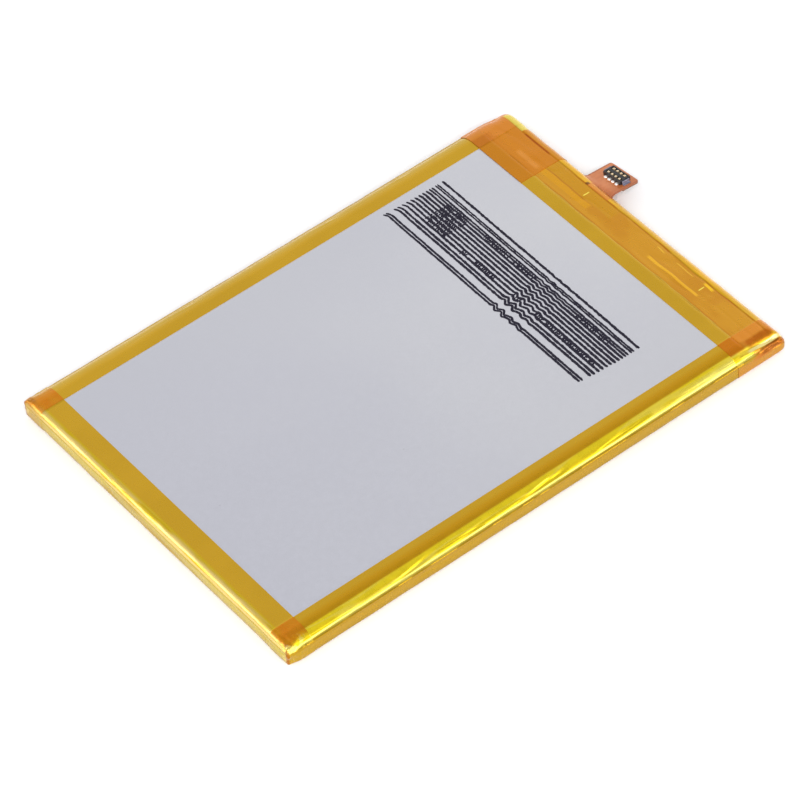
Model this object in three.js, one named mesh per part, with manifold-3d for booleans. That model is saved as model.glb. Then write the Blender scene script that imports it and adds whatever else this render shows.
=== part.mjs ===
// Lithium pouch cell pack for a phone: wound core, laminate pouch, protection board under
// amber tape at the head, and a short flex tail with a board-to-board connector.
// Millimetres. Origin at the centre of the pack's back face, +Y to the head, +Z out of the front.

import * as THREE from 'three';
import { mergeVertices } from 'three/addons/utils/BufferGeometryUtils.js';
import Module from 'manifold-3d';

const wasm = await Module();
wasm.setup();

// Driving dimensions of the pack
const PACK_WIDTH = 66.4;
const PACK_LENGTH = 94.0;
const CELL_THICKNESS = 3.6;
const CELL_HEAD = 40.2;
const LAMINATE = 0.11;
const TAPE = 0.05;
const CLEAR = 0.02;
const PANEL_RISE = 0.03;

// Front window left bare between the tapes
const WINDOW_WIDTH = 57.0;
const WINDOW_LENGTH = 80.0;
const WINDOW_Y = -2.4;
const PANEL_INSET = 0.3;

// Pouch
const SHOULDER = 1.3;
const CORNER = 1.6;
const SEAM_FOLD = 0.445;
const FLAP_TOP = 2.55;
const TERRACE_END = 46.3;
const SEAM_TAIL = -45.6;
const SEAM_HEAD = 46.0;
const HEM = { halfX: 31, depth: 0.3 };

// The terrace films rise over each tab and its sealant
const TAB_BUMP = { side: 0.71, before: 0.2, top: 0.54 };
const TAB_TUNNEL = { side: 0.6, before: 0.4, top: 0.43 };

// Wound core
const CORE_HALF = 1.6;
const CORE_TURNS = 2.5;
const CORE_START = 0.15;
const CORE_TAIL = -45.8;
const CORE_HEAD = 39.0;
const ANODE = 0.13;
const CATHODE = 0.12;
const SEPARATOR = 0.04;
const ARC_STEPS = 6;

// Head end
const TAB_WIDTH = 6.0;
const TAB_THICKNESS = 0.08;
const TAB_SPREAD = 11.5;
const TAB_PATH = { root: 22, drop: 39.2, sealed: 39.8, front: 46.6, end: 42.4, bend: 0.3 };
const TAB_LEVEL = { sealed: 0.29, welded: 1.6 };
const SLEEVE = { halfX: 3.5, from: 40.9, to: 45.9, bottom: 0.17, top: 0.41 };
const SLEEVE_OPENING = { halfX: 3.02, bottom: 0.23, top: 0.35 };
const WELD_PLATE = { halfX: 4, from: 42.0, to: 44.6, bottom: 1.68, top: 1.84 };
const BOARD = { x: -1.25, y: 42.95, length: 50.5, width: 3.9, bottom: 1.86, thickness: 0.5 };
const SPACER = { from: 40.9, to: 45.6, bottom: 0.6, top: 1.5 };
const INSULATOR = { from: 40.9, to: 44.8, bottom: 3.4, top: 3.5 };
const HEAD_SLOPE = { start: 44.9, foot: 1.3 };
const END_SHOULDER = 1.0;
const PATCH_RIGHT = -18.1;
const SLOT = { from: 45.9, to: 47.5 };

// Flex tail
const FLEX_X = -10.4;
const FLEX_WIDTH = 6.8;
const FLEX_THICKNESS = 0.12;
const FLEX_ROOT_START = 42.4;
const BEND_Y = 47.35;
const BEND_GAP = 0.15;
const TAIL_LENGTH = 4.75;
const TAIL_CORNER = 0.45;
const STIFFENER = { start: 1.45, thickness: 0.22 };
const TAIL_ROLL = THREE.MathUtils.degToRad(7);
const TAIL_PITCH = THREE.MathUtils.degToRad(-4);
const CONNECTOR = { x: 0.3, y: 2.85, length: 4.0, width: 2.1, height: 0.72 };
const CONTACT_PITCH = 0.87;
const CONTACTS_PER_ROW = 4;
const TROUGH = { y: 0.55, half: 0.28, wall: 0.25, floor: 0.3 };
const NOTCH = { half: 0.22, from: 0.35, top: 0.32 };
const CONTACT = { half: 0.17, from: 0.42, beam: 0.2, foot: 0.12, top: 0.5, reach: 0.35 };
const HOLD_DOWN = { gap: 0.03, half: 0.7, plate: 0.25, foot: 0.55, sheet: 0.12, top: 0.62 };

// Boxes that reach past everything, for cutting
const FAR_X = 40;
const FAR_Y = 60;
const FAR_Z = 10;

// Levels and edges worked out from the above
const halfWidth = PACK_WIDTH / 2;
const halfLength = PACK_LENGTH / 2;
const filmBack = PANEL_RISE;
const filmFront = CELL_THICKNESS - PANEL_RISE;
const tapeWallX = halfWidth - TAPE / 2;
const coverWallX = tapeWallX - TAPE / 2 - CLEAR - LAMINATE / 2;
const flapWallX = coverWallX - LAMINATE - CLEAR;
const cupHalfWidth = flapWallX - LAMINATE / 2 - 0.03;
const cupTail = -halfLength + TAPE + 0.05;
const coverLevel = filmBack + LAMINATE / 2;
const flangeLevel = coverLevel + LAMINATE + CLEAR;
const foldX = coverWallX - SEAM_FOLD;
const foldZ = coverLevel + SEAM_FOLD;
const coreZ = CELL_THICKNESS / 2;
const boardTop = BOARD.bottom + BOARD.thickness;
const flexLevel = boardTop + CLEAR + FLEX_THICKNESS / 2;
const tapePitch = TAPE + CLEAR;
const tabPlaces = [-TAB_SPREAD, TAB_SPREAD];

// Geometry helpers

function toSolid(geometry) {
  const plain = geometry.clone();
  plain.deleteAttribute('normal');
  plain.deleteAttribute('uv');
  const merged = mergeVertices(plain, 1e-5);
  const vertProperties = Float32Array.from(merged.attributes.position.array);
  const triVerts = Uint32Array.from(merged.index.array);
  return new wasm.Manifold(new wasm.Mesh({ numProp: 3, vertProperties, triVerts }));
}

function toGeometry(solid) {
  const mesh = solid.getMesh();
  const geometry = new THREE.BufferGeometry();
  geometry.setAttribute('position', new THREE.BufferAttribute(mesh.vertProperties, 3));
  geometry.setIndex(new THREE.BufferAttribute(mesh.triVerts, 1));
  geometry.computeVertexNormals();
  return geometry;
}

function union(...geometries) {
  const solids = geometries.map(toSolid);
  return toGeometry(solids.reduce((sum, solid) => sum.add(solid)));
}

function cut(geometry, ...tools) {
  const solids = tools.map(toSolid);
  return toGeometry(solids.reduce((rest, solid) => rest.subtract(solid), toSolid(geometry)));
}

function common(...geometries) {
  const solids = geometries.map(toSolid);
  return toGeometry(solids.reduce((shared, solid) => shared.intersect(solid)));
}

function block(x0, x1, y0, y1, z0, z1) {
  const geometry = new THREE.BoxGeometry(x1 - x0, y1 - y0, z1 - z0);
  return geometry.translate((x0 + x1) / 2, (y0 + y1) / 2, (z0 + z1) / 2);
}

function arc(cx, cy, rx, ry, fromDeg, toDeg, steps) {
  const points = [];
  for (let i = 0; i <= steps; i += 1) {
    const angle = THREE.MathUtils.degToRad(fromDeg + ((toDeg - fromDeg) * i) / steps);
    points.push(new THREE.Vector2(cx + rx * Math.cos(angle), cy + ry * Math.sin(angle)));
  }
  return points;
}

// Closed outline of a sheet of one thickness whose middle follows the given points
function sheetOutline(points, thickness) {
  const sides = [[], []];
  points.forEach((point, i) => {
    const before = points[Math.max(i - 1, 0)];
    const after = points[Math.min(i + 1, points.length - 1)];
    const into = point.clone().sub(i > 0 ? before : point).normalize();
    const out = after.clone().sub(point).normalize();
    const along = into.clone().add(out).normalize();
    const normal = new THREE.Vector2(-along.y, along.x);
    const reference = i > 0 ? into : out;
    const reach = thickness / 2 / (normal.x * -reference.y + normal.y * reference.x);
    sides[0].push(point.clone().addScaledVector(normal, reach));
    sides[1].unshift(point.clone().addScaledVector(normal, -reach));
  });
  return sides.flat();
}

function extrude(outline, depth) {
  return new THREE.ExtrudeGeometry(new THREE.Shape(outline), { depth, bevelEnabled: false });
}

// An outline of (x, z) points carried along Y
function alongY(outline, from, to) {
  const basis = new THREE.Matrix4().makeBasis(
    new THREE.Vector3(1, 0, 0),
    new THREE.Vector3(0, 0, 1),
    new THREE.Vector3(0, -1, 0),
  );
  return extrude(outline, to - from).applyMatrix4(basis).translate(0, to, 0);
}

// An outline of (y, z) points carried along X
function alongX(outline, from, to) {
  const basis = new THREE.Matrix4().makeBasis(
    new THREE.Vector3(0, 1, 0),
    new THREE.Vector3(0, 0, 1),
    new THREE.Vector3(1, 0, 0),
  );
  return extrude(outline, to - from).applyMatrix4(basis).translate(from, 0, 0);
}

function roundedRectangle(x0, x1, y0, y1, radius) {
  const shape = new THREE.Shape();
  shape.moveTo(x0 + radius, y0);
  shape.lineTo(x1 - radius, y0);
  shape.absarc(x1 - radius, y0 + radius, radius, -Math.PI / 2, 0);
  shape.lineTo(x1, y1 - radius);
  shape.absarc(x1 - radius, y1 - radius, radius, 0, Math.PI / 2);
  shape.lineTo(x0 + radius, y1);
  shape.absarc(x0 + radius, y1 - radius, radius, Math.PI / 2, Math.PI);
  shape.lineTo(x0, y0 + radius);
  shape.absarc(x0 + radius, y0 + radius, radius, Math.PI, Math.PI * 1.5);
  return shape;
}

// A slab with rounded plan corners and a rounded front edge, between two levels
function roundedSlab({ halfX, tail, head, bottom, top, edge }) {
  const radius = CORNER - SHOULDER;
  const shape = roundedRectangle(-halfX + edge, halfX - edge, tail + edge, head - edge, radius);
  const reach = 3 * edge;
  const slab = new THREE.ExtrudeGeometry(shape, {
    depth: reach,
    curveSegments: 5,
    bevelSize: edge,
    bevelThickness: edge,
    bevelSegments: 5,
  });
  slab.translate(0, 0, top - edge - reach);
  return cut(slab, block(-FAR_X, FAR_X, -FAR_Y, FAR_Y, -FAR_Z, bottom));
}

function part(name, geometry, material) {
  const mesh = new THREE.Mesh(geometry, new THREE.MeshStandardMaterial(material));
  mesh.name = name;
  return mesh;
}

// Finishes
const LAMINATE_FOIL = { color: 0xc9cbcf, roughness: 0.42, metalness: 0.6 };
const AMBER_FILM = { color: 0xc4961f, roughness: 0.22, metalness: 0.0 };
const COPPER = { color: 0xb87345, roughness: 0.4, metalness: 1.0 };
const ALUMINIUM = { color: 0xd0d2d4, roughness: 0.35, metalness: 1.0 };
const NICKEL = { color: 0xbdb9ae, roughness: 0.3, metalness: 1.0 };
const WHITE_FILM = { color: 0xf0efe9, roughness: 0.6, metalness: 0.0 };
const SEALANT = { color: 0x2d2c2a, roughness: 0.5, metalness: 0.0 };
const BOARD_GREEN = { color: 0x1f5a38, roughness: 0.45, metalness: 0.0 };
const BLACK_MOULDING = { color: 0x1b1b1d, roughness: 0.4, metalness: 0.0 };
const CERAMIC = { color: 0xb9a480, roughness: 0.5, metalness: 0.0 };
const FOAM = { color: 0x3a3b3d, roughness: 0.9, metalness: 0.0 };
const FISH_PAPER = { color: 0x9fb39a, roughness: 0.8, metalness: 0.0 };
const FLEX_FILM = { color: 0xcd8255, roughness: 0.35, metalness: 0.0 };
const STIFFENER_SHEET = { color: 0x7a4a30, roughness: 0.55, metalness: 0.0 };
const GOLD_PLATE = { color: 0xd9b36a, roughness: 0.25, metalness: 1.0 };

// Pouch

function bumpOverTab(x) {
  const half = TAB_WIDTH / 2 + TAB_BUMP.side;
  const start = CELL_HEAD - TAB_BUMP.before;
  return block(x - half, x + half, start, TERRACE_END, flangeLevel, TAB_BUMP.top);
}

function tunnelForTab(x) {
  const half = TAB_WIDTH / 2 + TAB_TUNNEL.side;
  const start = CELL_HEAD - TAB_TUNNEL.before;
  return block(x - half, x + half, start, TERRACE_END + 1, 0, TAB_TUNNEL.top);
}

function seamFlap(side, radius, wallX, level, top) {
  const lap = 0.1;
  const points = [
    new THREE.Vector2(foldX - lap, level),
    ...arc(foldX, foldZ, radius, radius, -90, 0, 4),
    new THREE.Vector2(wallX, top),
  ];
  const outline = sheetOutline(points, LAMINATE);
  return outline.map((point) => new THREE.Vector2(side * point.x, point.y));
}

function panel(bottom, top) {
  const halfX = WINDOW_WIDTH / 2 - PANEL_INSET;
  const halfY = WINDOW_LENGTH / 2 - PANEL_INSET;
  return block(-halfX, halfX, WINDOW_Y - halfY, WINDOW_Y + halfY, bottom, top);
}

function cupSlab(inset, bottom) {
  return roundedSlab({
    halfX: cupHalfWidth - inset,
    tail: cupTail + inset,
    head: CELL_HEAD - inset,
    bottom,
    top: filmFront - inset,
    edge: SHOULDER - inset,
  });
}

function pouchCup() {
  const skim = 0.005;
  const low = flangeLevel - LAMINATE / 2 + skim;
  const high = low + LAMINATE - 2 * skim;
  const radius = SEAM_FOLD - LAMINATE - CLEAR;
  const shellLap = 0.025;
  const wallLap = 0.03;
  const flapStep = 0.05;
  const shell = cut(cupSlab(0, high - shellLap), cupSlab(LAMINATE, -1));
  const headWall = CELL_HEAD - LAMINATE + wallLap;
  const terrace = block(-foldX, foldX, headWall, TERRACE_END, low, high);
  const hemTail = cupTail + wallLap;
  const tailHem = block(-HEM.halfX, HEM.halfX, hemTail, cupTail + HEM.depth, low, high);
  const flaps = [-1, 1].map((side) => {
    const outline = seamFlap(side, radius, flapWallX, flangeLevel, FLAP_TOP - flapStep);
    return alongY(outline, SEAM_TAIL, SEAM_HEAD);
  });
  const raised = panel(filmFront - LAMINATE / 2, CELL_THICKNESS);
  const bumps = tabPlaces.map(bumpOverTab);
  const formed = union(shell, terrace, tailHem, ...flaps, raised, ...bumps);
  return cut(formed, ...tabPlaces.map(tunnelForTab));
}

function pouchCover() {
  const tail = cupTail + HEM.depth;
  const film = block(-foldX, foldX, tail, TERRACE_END, filmBack, filmBack + LAMINATE);
  const flaps = [-1, 1].map((side) => {
    const outline = seamFlap(side, SEAM_FOLD, coverWallX, coverLevel, FLAP_TOP);
    return alongY(outline, SEAM_TAIL, SEAM_HEAD);
  });
  return union(film, ...flaps, panel(0, coverLevel));
}

function makePouch() {
  const group = new THREE.Group();
  group.add(part('pouch_cup', pouchCup(), LAMINATE_FOIL));
  group.add(part('pouch_cover', pouchCover(), LAMINATE_FOIL));
  return group;
}

// Wound core: four strips on one flat spiral, each a little further out than the last

function spiralOutline(start, thickness, pitch) {
  const sideGap = 0.37;
  const straightHalf = flapWallX - sideGap - CORE_HALF;
  const steps = CORE_TURNS * 2 * ARC_STEPS;
  const point = (step, offset) => {
    const turn = (step / ARC_STEPS) * Math.PI - Math.PI / 2;
    const reach = start + (pitch * step) / (2 * ARC_STEPS) + offset;
    return [reach * Math.cos(turn), reach * Math.sin(turn)];
  };
  const sides = [[], []];
  for (let step = 0; step <= steps; step += 1) {
    const half = Math.floor(step / ARC_STEPS);
    const centres = step % ARC_STEPS === 0 && step > 0 && step < steps ? [half - 1, half] : [half];
    if (step === steps) {
      centres[0] = half - 1;
    }
    for (const index of centres) {
      const centreX = index % 2 === 0 ? straightHalf : -straightHalf;
      const [ox, oz] = point(step, thickness / 2);
      const [ix, iz] = point(step, -thickness / 2);
      sides[0].push(new THREE.Vector2(centreX + ox, oz));
      sides[1].unshift(new THREE.Vector2(centreX + ix, iz));
    }
  }
  return sides.flat();
}

function makeCore() {
  const strips = [
    { name: 'anode_strip', thickness: ANODE, inset: 0.6, finish: COPPER },
    { name: 'separator_inner', thickness: SEPARATOR, inset: 0, finish: WHITE_FILM },
    { name: 'cathode_strip', thickness: CATHODE, inset: 1.1, finish: ALUMINIUM },
    { name: 'separator_outer', thickness: SEPARATOR, inset: 0, finish: WHITE_FILM },
  ];
  const solidDepth = strips.reduce((sum, strip) => sum + strip.thickness, 0);
  const firstTurns = CORE_START - ANODE / 2 + solidDepth;
  const gap = (CORE_HALF - firstTurns - CORE_TURNS * solidDepth) / (3 + 4 * CORE_TURNS);
  const pitch = solidDepth + 4 * gap;
  const group = new THREE.Group();
  group.position.z = coreZ;
  let inner = CORE_START - ANODE / 2;
  for (const strip of strips) {
    const outline = spiralOutline(inner + strip.thickness / 2, strip.thickness, pitch);
    const geometry = alongY(outline, CORE_TAIL + strip.inset, CORE_HEAD - strip.inset);
    group.add(part(strip.name, geometry, strip.finish));
    inner += strip.thickness + gap;
  }
  return group;
}

// Current tabs, their sealant sleeves and the plates they are welded to

function tabOutline() {
  const { root, drop, sealed, front, end, bend } = TAB_PATH;
  const lowCentre = TAB_LEVEL.sealed + bend;
  const points = [
    new THREE.Vector2(root, coreZ),
    ...arc(drop, coreZ - bend, bend, bend, 90, 0, 3),
    ...arc(sealed, lowCentre, bend, bend, 180, 270, 3),
    ...arc(front - bend, lowCentre, bend, bend, -90, 0, 3),
    ...arc(front - bend, TAB_LEVEL.welded - bend, bend, bend, 0, 90, 3),
    new THREE.Vector2(end, TAB_LEVEL.welded),
  ];
  return sheetOutline(points, TAB_THICKNESS);
}

function sealantSleeve(x) {
  const { halfX, from, to, bottom, top } = SLEEVE;
  const inner = SLEEVE_OPENING;
  const outer = block(x - halfX, x + halfX, from, to, bottom, top);
  const opening = block(x - inner.halfX, x + inner.halfX, from - 1, to + 1, inner.bottom, inner.top);
  return cut(outer, opening);
}

function weldPlate(x) {
  const { halfX, from, to, bottom, top } = WELD_PLATE;
  return block(x - halfX, x + halfX, from, to, bottom, top);
}

function makeTabs() {
  const group = new THREE.Group();
  const finishes = [ALUMINIUM, NICKEL];
  ['positive', 'negative'].forEach((pole, i) => {
    const x = tabPlaces[i];
    const tab = alongX(tabOutline(), x - TAB_WIDTH / 2, x + TAB_WIDTH / 2);
    group.add(part(`${pole}_tab`, tab, finishes[i]));
    group.add(part(`${pole}_tab_sealant`, sealantSleeve(x), SEALANT));
    group.add(part(`${pole}_weld_plate`, weldPlate(x), NICKEL));
  });
  return group;
}

// Protection board and what is soldered to it

const PACKAGES = [
  { name: 'protection_ic', x: -3.5, y: 42.9, size: [2.0, 1.8, 0.6] },
  { name: 'mosfet_1', x: -21.6, y: 42.9, size: [3.0, 2.6, 0.8] },
  { name: 'mosfet_2', x: -17.6, y: 42.9, size: [3.0, 2.6, 0.8] },
  { name: 'thermal_cutoff', x: 12.3, y: 42.3, size: [7.2, 2.0, 0.9] },
];
const CHIPS = [
  { name: 'thermistor', x: 20.8, y: 42.6, size: [1.6, 0.8, 0.8], finish: CERAMIC },
  { name: 'resistor_1', x: -0.9, y: 42.1, size: [1.0, 0.5, 0.35], finish: BLACK_MOULDING },
  { name: 'resistor_2', x: 0.7, y: 42.1, size: [1.0, 0.5, 0.35], finish: BLACK_MOULDING },
  { name: 'resistor_3', x: 2.3, y: 42.1, size: [1.0, 0.5, 0.35], finish: BLACK_MOULDING },
  { name: 'capacitor_1', x: -0.9, y: 43.6, size: [1.0, 0.5, 0.5], finish: CERAMIC },
  { name: 'capacitor_2', x: 0.7, y: 43.6, size: [1.0, 0.5, 0.5], finish: CERAMIC },
  { name: 'capacitor_3', x: 2.3, y: 43.6, size: [1.0, 0.5, 0.5], finish: CERAMIC },
];

// Ceramic or film body between two end caps
function chip(length, width, height) {
  const capShare = 0.22;
  const inset = 0.03;
  const lift = 0.02;
  const cap = length * capShare;
  const halfX = length / 2;
  const halfY = width / 2;
  const bodyX = halfX - cap / 2;
  const body = block(-bodyX, bodyX, -halfY + inset, halfY - inset, lift, height - inset);
  const caps = [-1, 1].map((side) => {
    const inner = side * (halfX - cap);
    const outer = side * halfX;
    return block(Math.min(inner, outer), Math.max(inner, outer), -halfY, halfY, 0, height);
  });
  return union(body, ...caps);
}

function icPackage(length, width, height) {
  const corner = 0.12;
  const edge = 0.05;
  const shape = roundedRectangle(-length / 2, length / 2, -width / 2, width / 2, corner);
  const geometry = new THREE.ExtrudeGeometry(shape, {
    depth: height - 2 * edge,
    bevelSize: edge,
    bevelThickness: edge,
    bevelSegments: 1,
    curveSegments: 2,
  });
  return geometry.translate(0, 0, edge);
}

function boardLayer({ from, to, bottom, top }) {
  const halfX = BOARD.length / 2;
  return block(BOARD.x - halfX, BOARD.x + halfX, from, to, bottom, top);
}

function makeBoard() {
  const group = new THREE.Group();
  const halfY = BOARD.width / 2;
  const sheet = { from: BOARD.y - halfY, to: BOARD.y + halfY, bottom: BOARD.bottom, top: boardTop };
  group.add(part('protection_board', boardLayer(sheet), BOARD_GREEN));
  group.add(part('board_spacer', boardLayer(SPACER), FOAM));
  group.add(part('board_insulator', boardLayer(INSULATOR), FISH_PAPER));
  const place = ({ name, x, y }, geometry, finish) => {
    const mesh = part(name, geometry, finish);
    mesh.position.set(x, y, boardTop + CLEAR);
    group.add(mesh);
  };
  PACKAGES.forEach((item) => place(item, icPackage(...item.size), BLACK_MOULDING));
  CHIPS.forEach((item) => place(item, chip(...item.size), item.finish));
  return group;
}

// Flex circuit: the root soldered to the board, and the tail that bends where it leaves the pack

function flexRoot() {
  const half = FLEX_WIDTH / 2;
  const low = flexLevel - FLEX_THICKNESS / 2;
  const end = BEND_Y - BEND_GAP;
  return block(FLEX_X - half, FLEX_X + half, FLEX_ROOT_START, end, low, low + FLEX_THICKNESS);
}

function tailSheet(from, bottom, thickness) {
  const half = FLEX_WIDTH / 2;
  const radius = TAIL_CORNER;
  const shape = new THREE.Shape();
  shape.moveTo(-half, from);
  shape.lineTo(half, from);
  shape.absarc(half - radius, TAIL_LENGTH - radius, radius, 0, Math.PI / 2);
  shape.absarc(-half + radius, TAIL_LENGTH - radius, radius, Math.PI / 2, Math.PI);
  const options = { depth: thickness, bevelEnabled: false, curveSegments: 4 };
  return new THREE.ExtrudeGeometry(shape, options).translate(0, 0, bottom);
}

function contactPlaces() {
  const places = [];
  for (const side of [-1, 1]) {
    for (let i = 0; i < CONTACTS_PER_ROW; i += 1) {
      places.push({ side, x: (i - (CONTACTS_PER_ROW - 1) / 2) * CONTACT_PITCH });
    }
  }
  return places;
}

function connectorHousing() {
  const { length, width, height } = CONNECTOR;
  const body = block(-length / 2, length / 2, -width / 2, width / 2, 0, height);
  const troughX = length / 2 - TROUGH.wall;
  const troughs = [-1, 1].map((side) => {
    const low = side * TROUGH.y - TROUGH.half;
    const high = side * TROUGH.y + TROUGH.half;
    return block(-troughX, troughX, low, high, TROUGH.floor, height + 1);
  });
  const notches = contactPlaces().map(({ side, x }) => {
    const near = side * NOTCH.from;
    const far = side * (width / 2 + 1);
    const low = Math.min(near, far);
    const high = Math.max(near, far);
    return block(x - NOTCH.half, x + NOTCH.half, low, high, -1, NOTCH.top);
  });
  return cut(body, ...troughs, ...notches);
}

// An L-shaped spring: flat solder tail outside the housing, upright beam in the trough
function contact(side) {
  const { half, from, beam, foot, top, reach } = CONTACT;
  const end = CONNECTOR.width / 2 + reach;
  const outline = [
    new THREE.Vector2(side * from, 0),
    new THREE.Vector2(side * end, 0),
    new THREE.Vector2(side * end, foot),
    new THREE.Vector2(side * (from + beam), foot),
    new THREE.Vector2(side * (from + beam), top),
    new THREE.Vector2(side * from, top),
  ];
  return alongX(outline, -half, half);
}

// Sheet-metal end fitting: upright plate against the housing's end and a foot on the flex
function holdDown(side) {
  const { gap, half, plate, foot, sheet, top } = HOLD_DOWN;
  const face = CONNECTOR.length / 2 + gap;
  const outline = [
    new THREE.Vector2(side * face, 0),
    new THREE.Vector2(side * (face + foot), 0),
    new THREE.Vector2(side * (face + foot), sheet),
    new THREE.Vector2(side * (face + plate), sheet),
    new THREE.Vector2(side * (face + plate), top),
    new THREE.Vector2(side * face, top),
  ];
  return alongY(outline, -half, half);
}

function makeConnector() {
  const group = new THREE.Group();
  group.position.set(CONNECTOR.x, CONNECTOR.y, FLEX_THICKNESS / 2 + CLEAR);
  group.add(part('connector_housing', connectorHousing(), BLACK_MOULDING));
  contactPlaces().forEach(({ side, x }, i) => {
    const mesh = part(`contact_${i + 1}`, contact(side), GOLD_PLATE);
    mesh.position.x = x;
    group.add(mesh);
  });
  group.add(part('hold_down_left', holdDown(-1), NICKEL));
  group.add(part('hold_down_right', holdDown(1), NICKEL));
  return group;
}

function makeTail() {
  const group = new THREE.Group();
  group.position.set(FLEX_X, BEND_Y, flexLevel);
  group.rotation.set(TAIL_PITCH, -TAIL_ROLL, 0);
  const { start, thickness } = STIFFENER;
  const film = tailSheet(BEND_GAP, -FLEX_THICKNESS / 2, FLEX_THICKNESS);
  const backing = tailSheet(start, -FLEX_THICKNESS / 2 - CLEAR - thickness, thickness);
  group.add(part('flex_tail', film, FLEX_FILM));
  group.add(part('stiffener', backing, STIFFENER_SHEET));
  group.add(makeConnector());
  return group;
}

// Tapes. Layer 1 lies on the laminate, layers 2 and 3 each one tape further out.

function sideTape(side) {
  const shoulderX = cupHalfWidth - SHOULDER;
  const shoulderZ = filmFront - SHOULDER;
  const reach = SHOULDER + CLEAR + TAPE / 2;
  const foldReach = tapeWallX - foldX;
  const endGap = 0.05;
  const slopeGap = 0.1;
  const points = [
    new THREE.Vector2(WINDOW_WIDTH / 2, shoulderZ + reach),
    ...arc(shoulderX, shoulderZ, reach, reach, 90, 20, 6),
    new THREE.Vector2(tapeWallX, FLAP_TOP + endGap),
    ...arc(foldX, foldZ, foldReach, foldReach, 0, -90, 4),
    new THREE.Vector2(WINDOW_WIDTH / 2, foldZ - foldReach),
  ];
  const outline = sheetOutline(points, TAPE).map(({ x, y }) => new THREE.Vector2(side * x, y));
  return alongY(outline, SEAM_TAIL + endGap, HEAD_SLOPE.start - slopeGap);
}

// Space under a tape that is folded round an end of the pack, out to its inner or outer face
function wrappedSpace(layer, outward, slope) {
  const growth = (layer - 2) * tapePitch + outward;
  const front = filmFront + 2 * CLEAR + TAPE + growth;
  const back = filmBack - 2 * CLEAR - TAPE - growth;
  const end = halfLength - TAPE + growth;
  const slab = roundedSlab({
    halfX: halfWidth + CLEAR + growth,
    tail: -end,
    head: end,
    bottom: back,
    top: front,
    edge: END_SHOULDER + growth,
  });
  if (!slope) {
    return slab;
  }
  const profile = [
    new THREE.Vector2(0, back - 1),
    new THREE.Vector2(end, back - 1),
    ...arc(slope.start, slope.foot, end - slope.start, front - slope.foot, 0, 90, 8),
    new THREE.Vector2(0, front),
  ];
  return common(slab, alongX(profile, -halfWidth - 1, halfWidth + 1));
}

function foldedTape(layer, slope, region) {
  return common(cut(wrappedSpace(layer, TAPE, slope), wrappedSpace(layer, 0, slope)), region);
}

// Everything head-ward of the window, between two x positions
function headRegion(from, to) {
  const edge = WINDOW_Y + WINDOW_LENGTH / 2;
  return block(from, to, edge, FAR_Y, -FAR_Z, FAR_Z);
}

function headTape() {
  const sideGap = 0.2;
  const flatGap = 0.25;
  const half = FLEX_WIDTH / 2 + sideGap;
  const low = flexLevel - flatGap;
  const high = flexLevel + flatGap;
  const slot = block(FLEX_X - half, FLEX_X + half, SLOT.from, SLOT.to, low, high);
  return cut(foldedTape(2, HEAD_SLOPE, headRegion(-FAR_X, FAR_X)), slot);
}

function tailTape() {
  const edge = WINDOW_Y - WINDOW_LENGTH / 2;
  return foldedTape(2, null, block(-FAR_X, FAR_X, -FAR_Y, edge, -FAR_Z, FAR_Z));
}

function cornerTape() {
  return foldedTape(3, HEAD_SLOPE, headRegion(-FAR_X, PATCH_RIGHT));
}

function makeTapes() {
  const group = new THREE.Group();
  group.add(part('side_tape_left', sideTape(-1), AMBER_FILM));
  group.add(part('side_tape_right', sideTape(1), AMBER_FILM));
  group.add(part('tail_tape', tailTape(), AMBER_FILM));
  group.add(part('head_tape', headTape(), AMBER_FILM));
  group.add(part('head_corner_tape', cornerTape(), AMBER_FILM));
  return group;
}

const pack = new THREE.Group();
pack.add(makeCore(), makePouch(), makeTabs(), makeBoard());
pack.add(part('flex_root', flexRoot(), FLEX_FILM));
pack.add(makeTail(), makeTapes());

export default pack;
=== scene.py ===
import itertools
import math

import bpy
import numpy as np
from mathutils import Matrix, Vector


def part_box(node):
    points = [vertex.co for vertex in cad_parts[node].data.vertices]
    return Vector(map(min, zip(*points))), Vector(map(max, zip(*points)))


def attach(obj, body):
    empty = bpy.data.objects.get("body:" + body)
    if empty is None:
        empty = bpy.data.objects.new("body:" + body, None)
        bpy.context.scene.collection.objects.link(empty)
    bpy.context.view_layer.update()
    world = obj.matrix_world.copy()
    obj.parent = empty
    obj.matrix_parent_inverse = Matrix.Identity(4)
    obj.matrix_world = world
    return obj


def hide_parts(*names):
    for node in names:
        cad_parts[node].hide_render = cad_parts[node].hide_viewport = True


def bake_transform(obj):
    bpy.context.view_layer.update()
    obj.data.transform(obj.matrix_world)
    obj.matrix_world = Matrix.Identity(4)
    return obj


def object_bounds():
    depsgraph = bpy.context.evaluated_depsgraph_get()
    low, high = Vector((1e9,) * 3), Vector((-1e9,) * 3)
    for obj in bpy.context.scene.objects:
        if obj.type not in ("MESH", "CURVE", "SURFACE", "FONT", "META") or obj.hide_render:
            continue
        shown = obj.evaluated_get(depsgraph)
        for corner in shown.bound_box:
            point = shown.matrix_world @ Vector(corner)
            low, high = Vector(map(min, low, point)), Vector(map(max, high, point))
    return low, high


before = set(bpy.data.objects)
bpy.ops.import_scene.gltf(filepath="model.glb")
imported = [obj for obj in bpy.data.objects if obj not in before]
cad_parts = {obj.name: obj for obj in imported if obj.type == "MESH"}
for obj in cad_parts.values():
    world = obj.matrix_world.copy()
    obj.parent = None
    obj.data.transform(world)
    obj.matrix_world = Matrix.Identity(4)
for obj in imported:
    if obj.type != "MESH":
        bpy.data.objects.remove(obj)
cad_low, cad_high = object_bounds()

# All lengths in this script are millimetres until a mesh is made. X runs across the pack, Y to
# its head, Z out of its front, from the centre of the back face.
MM = 0.001


def box_mm(node):
    low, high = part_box(node)
    return np.array(low) / MM, np.array(high) / MM


# Camera and stage

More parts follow.
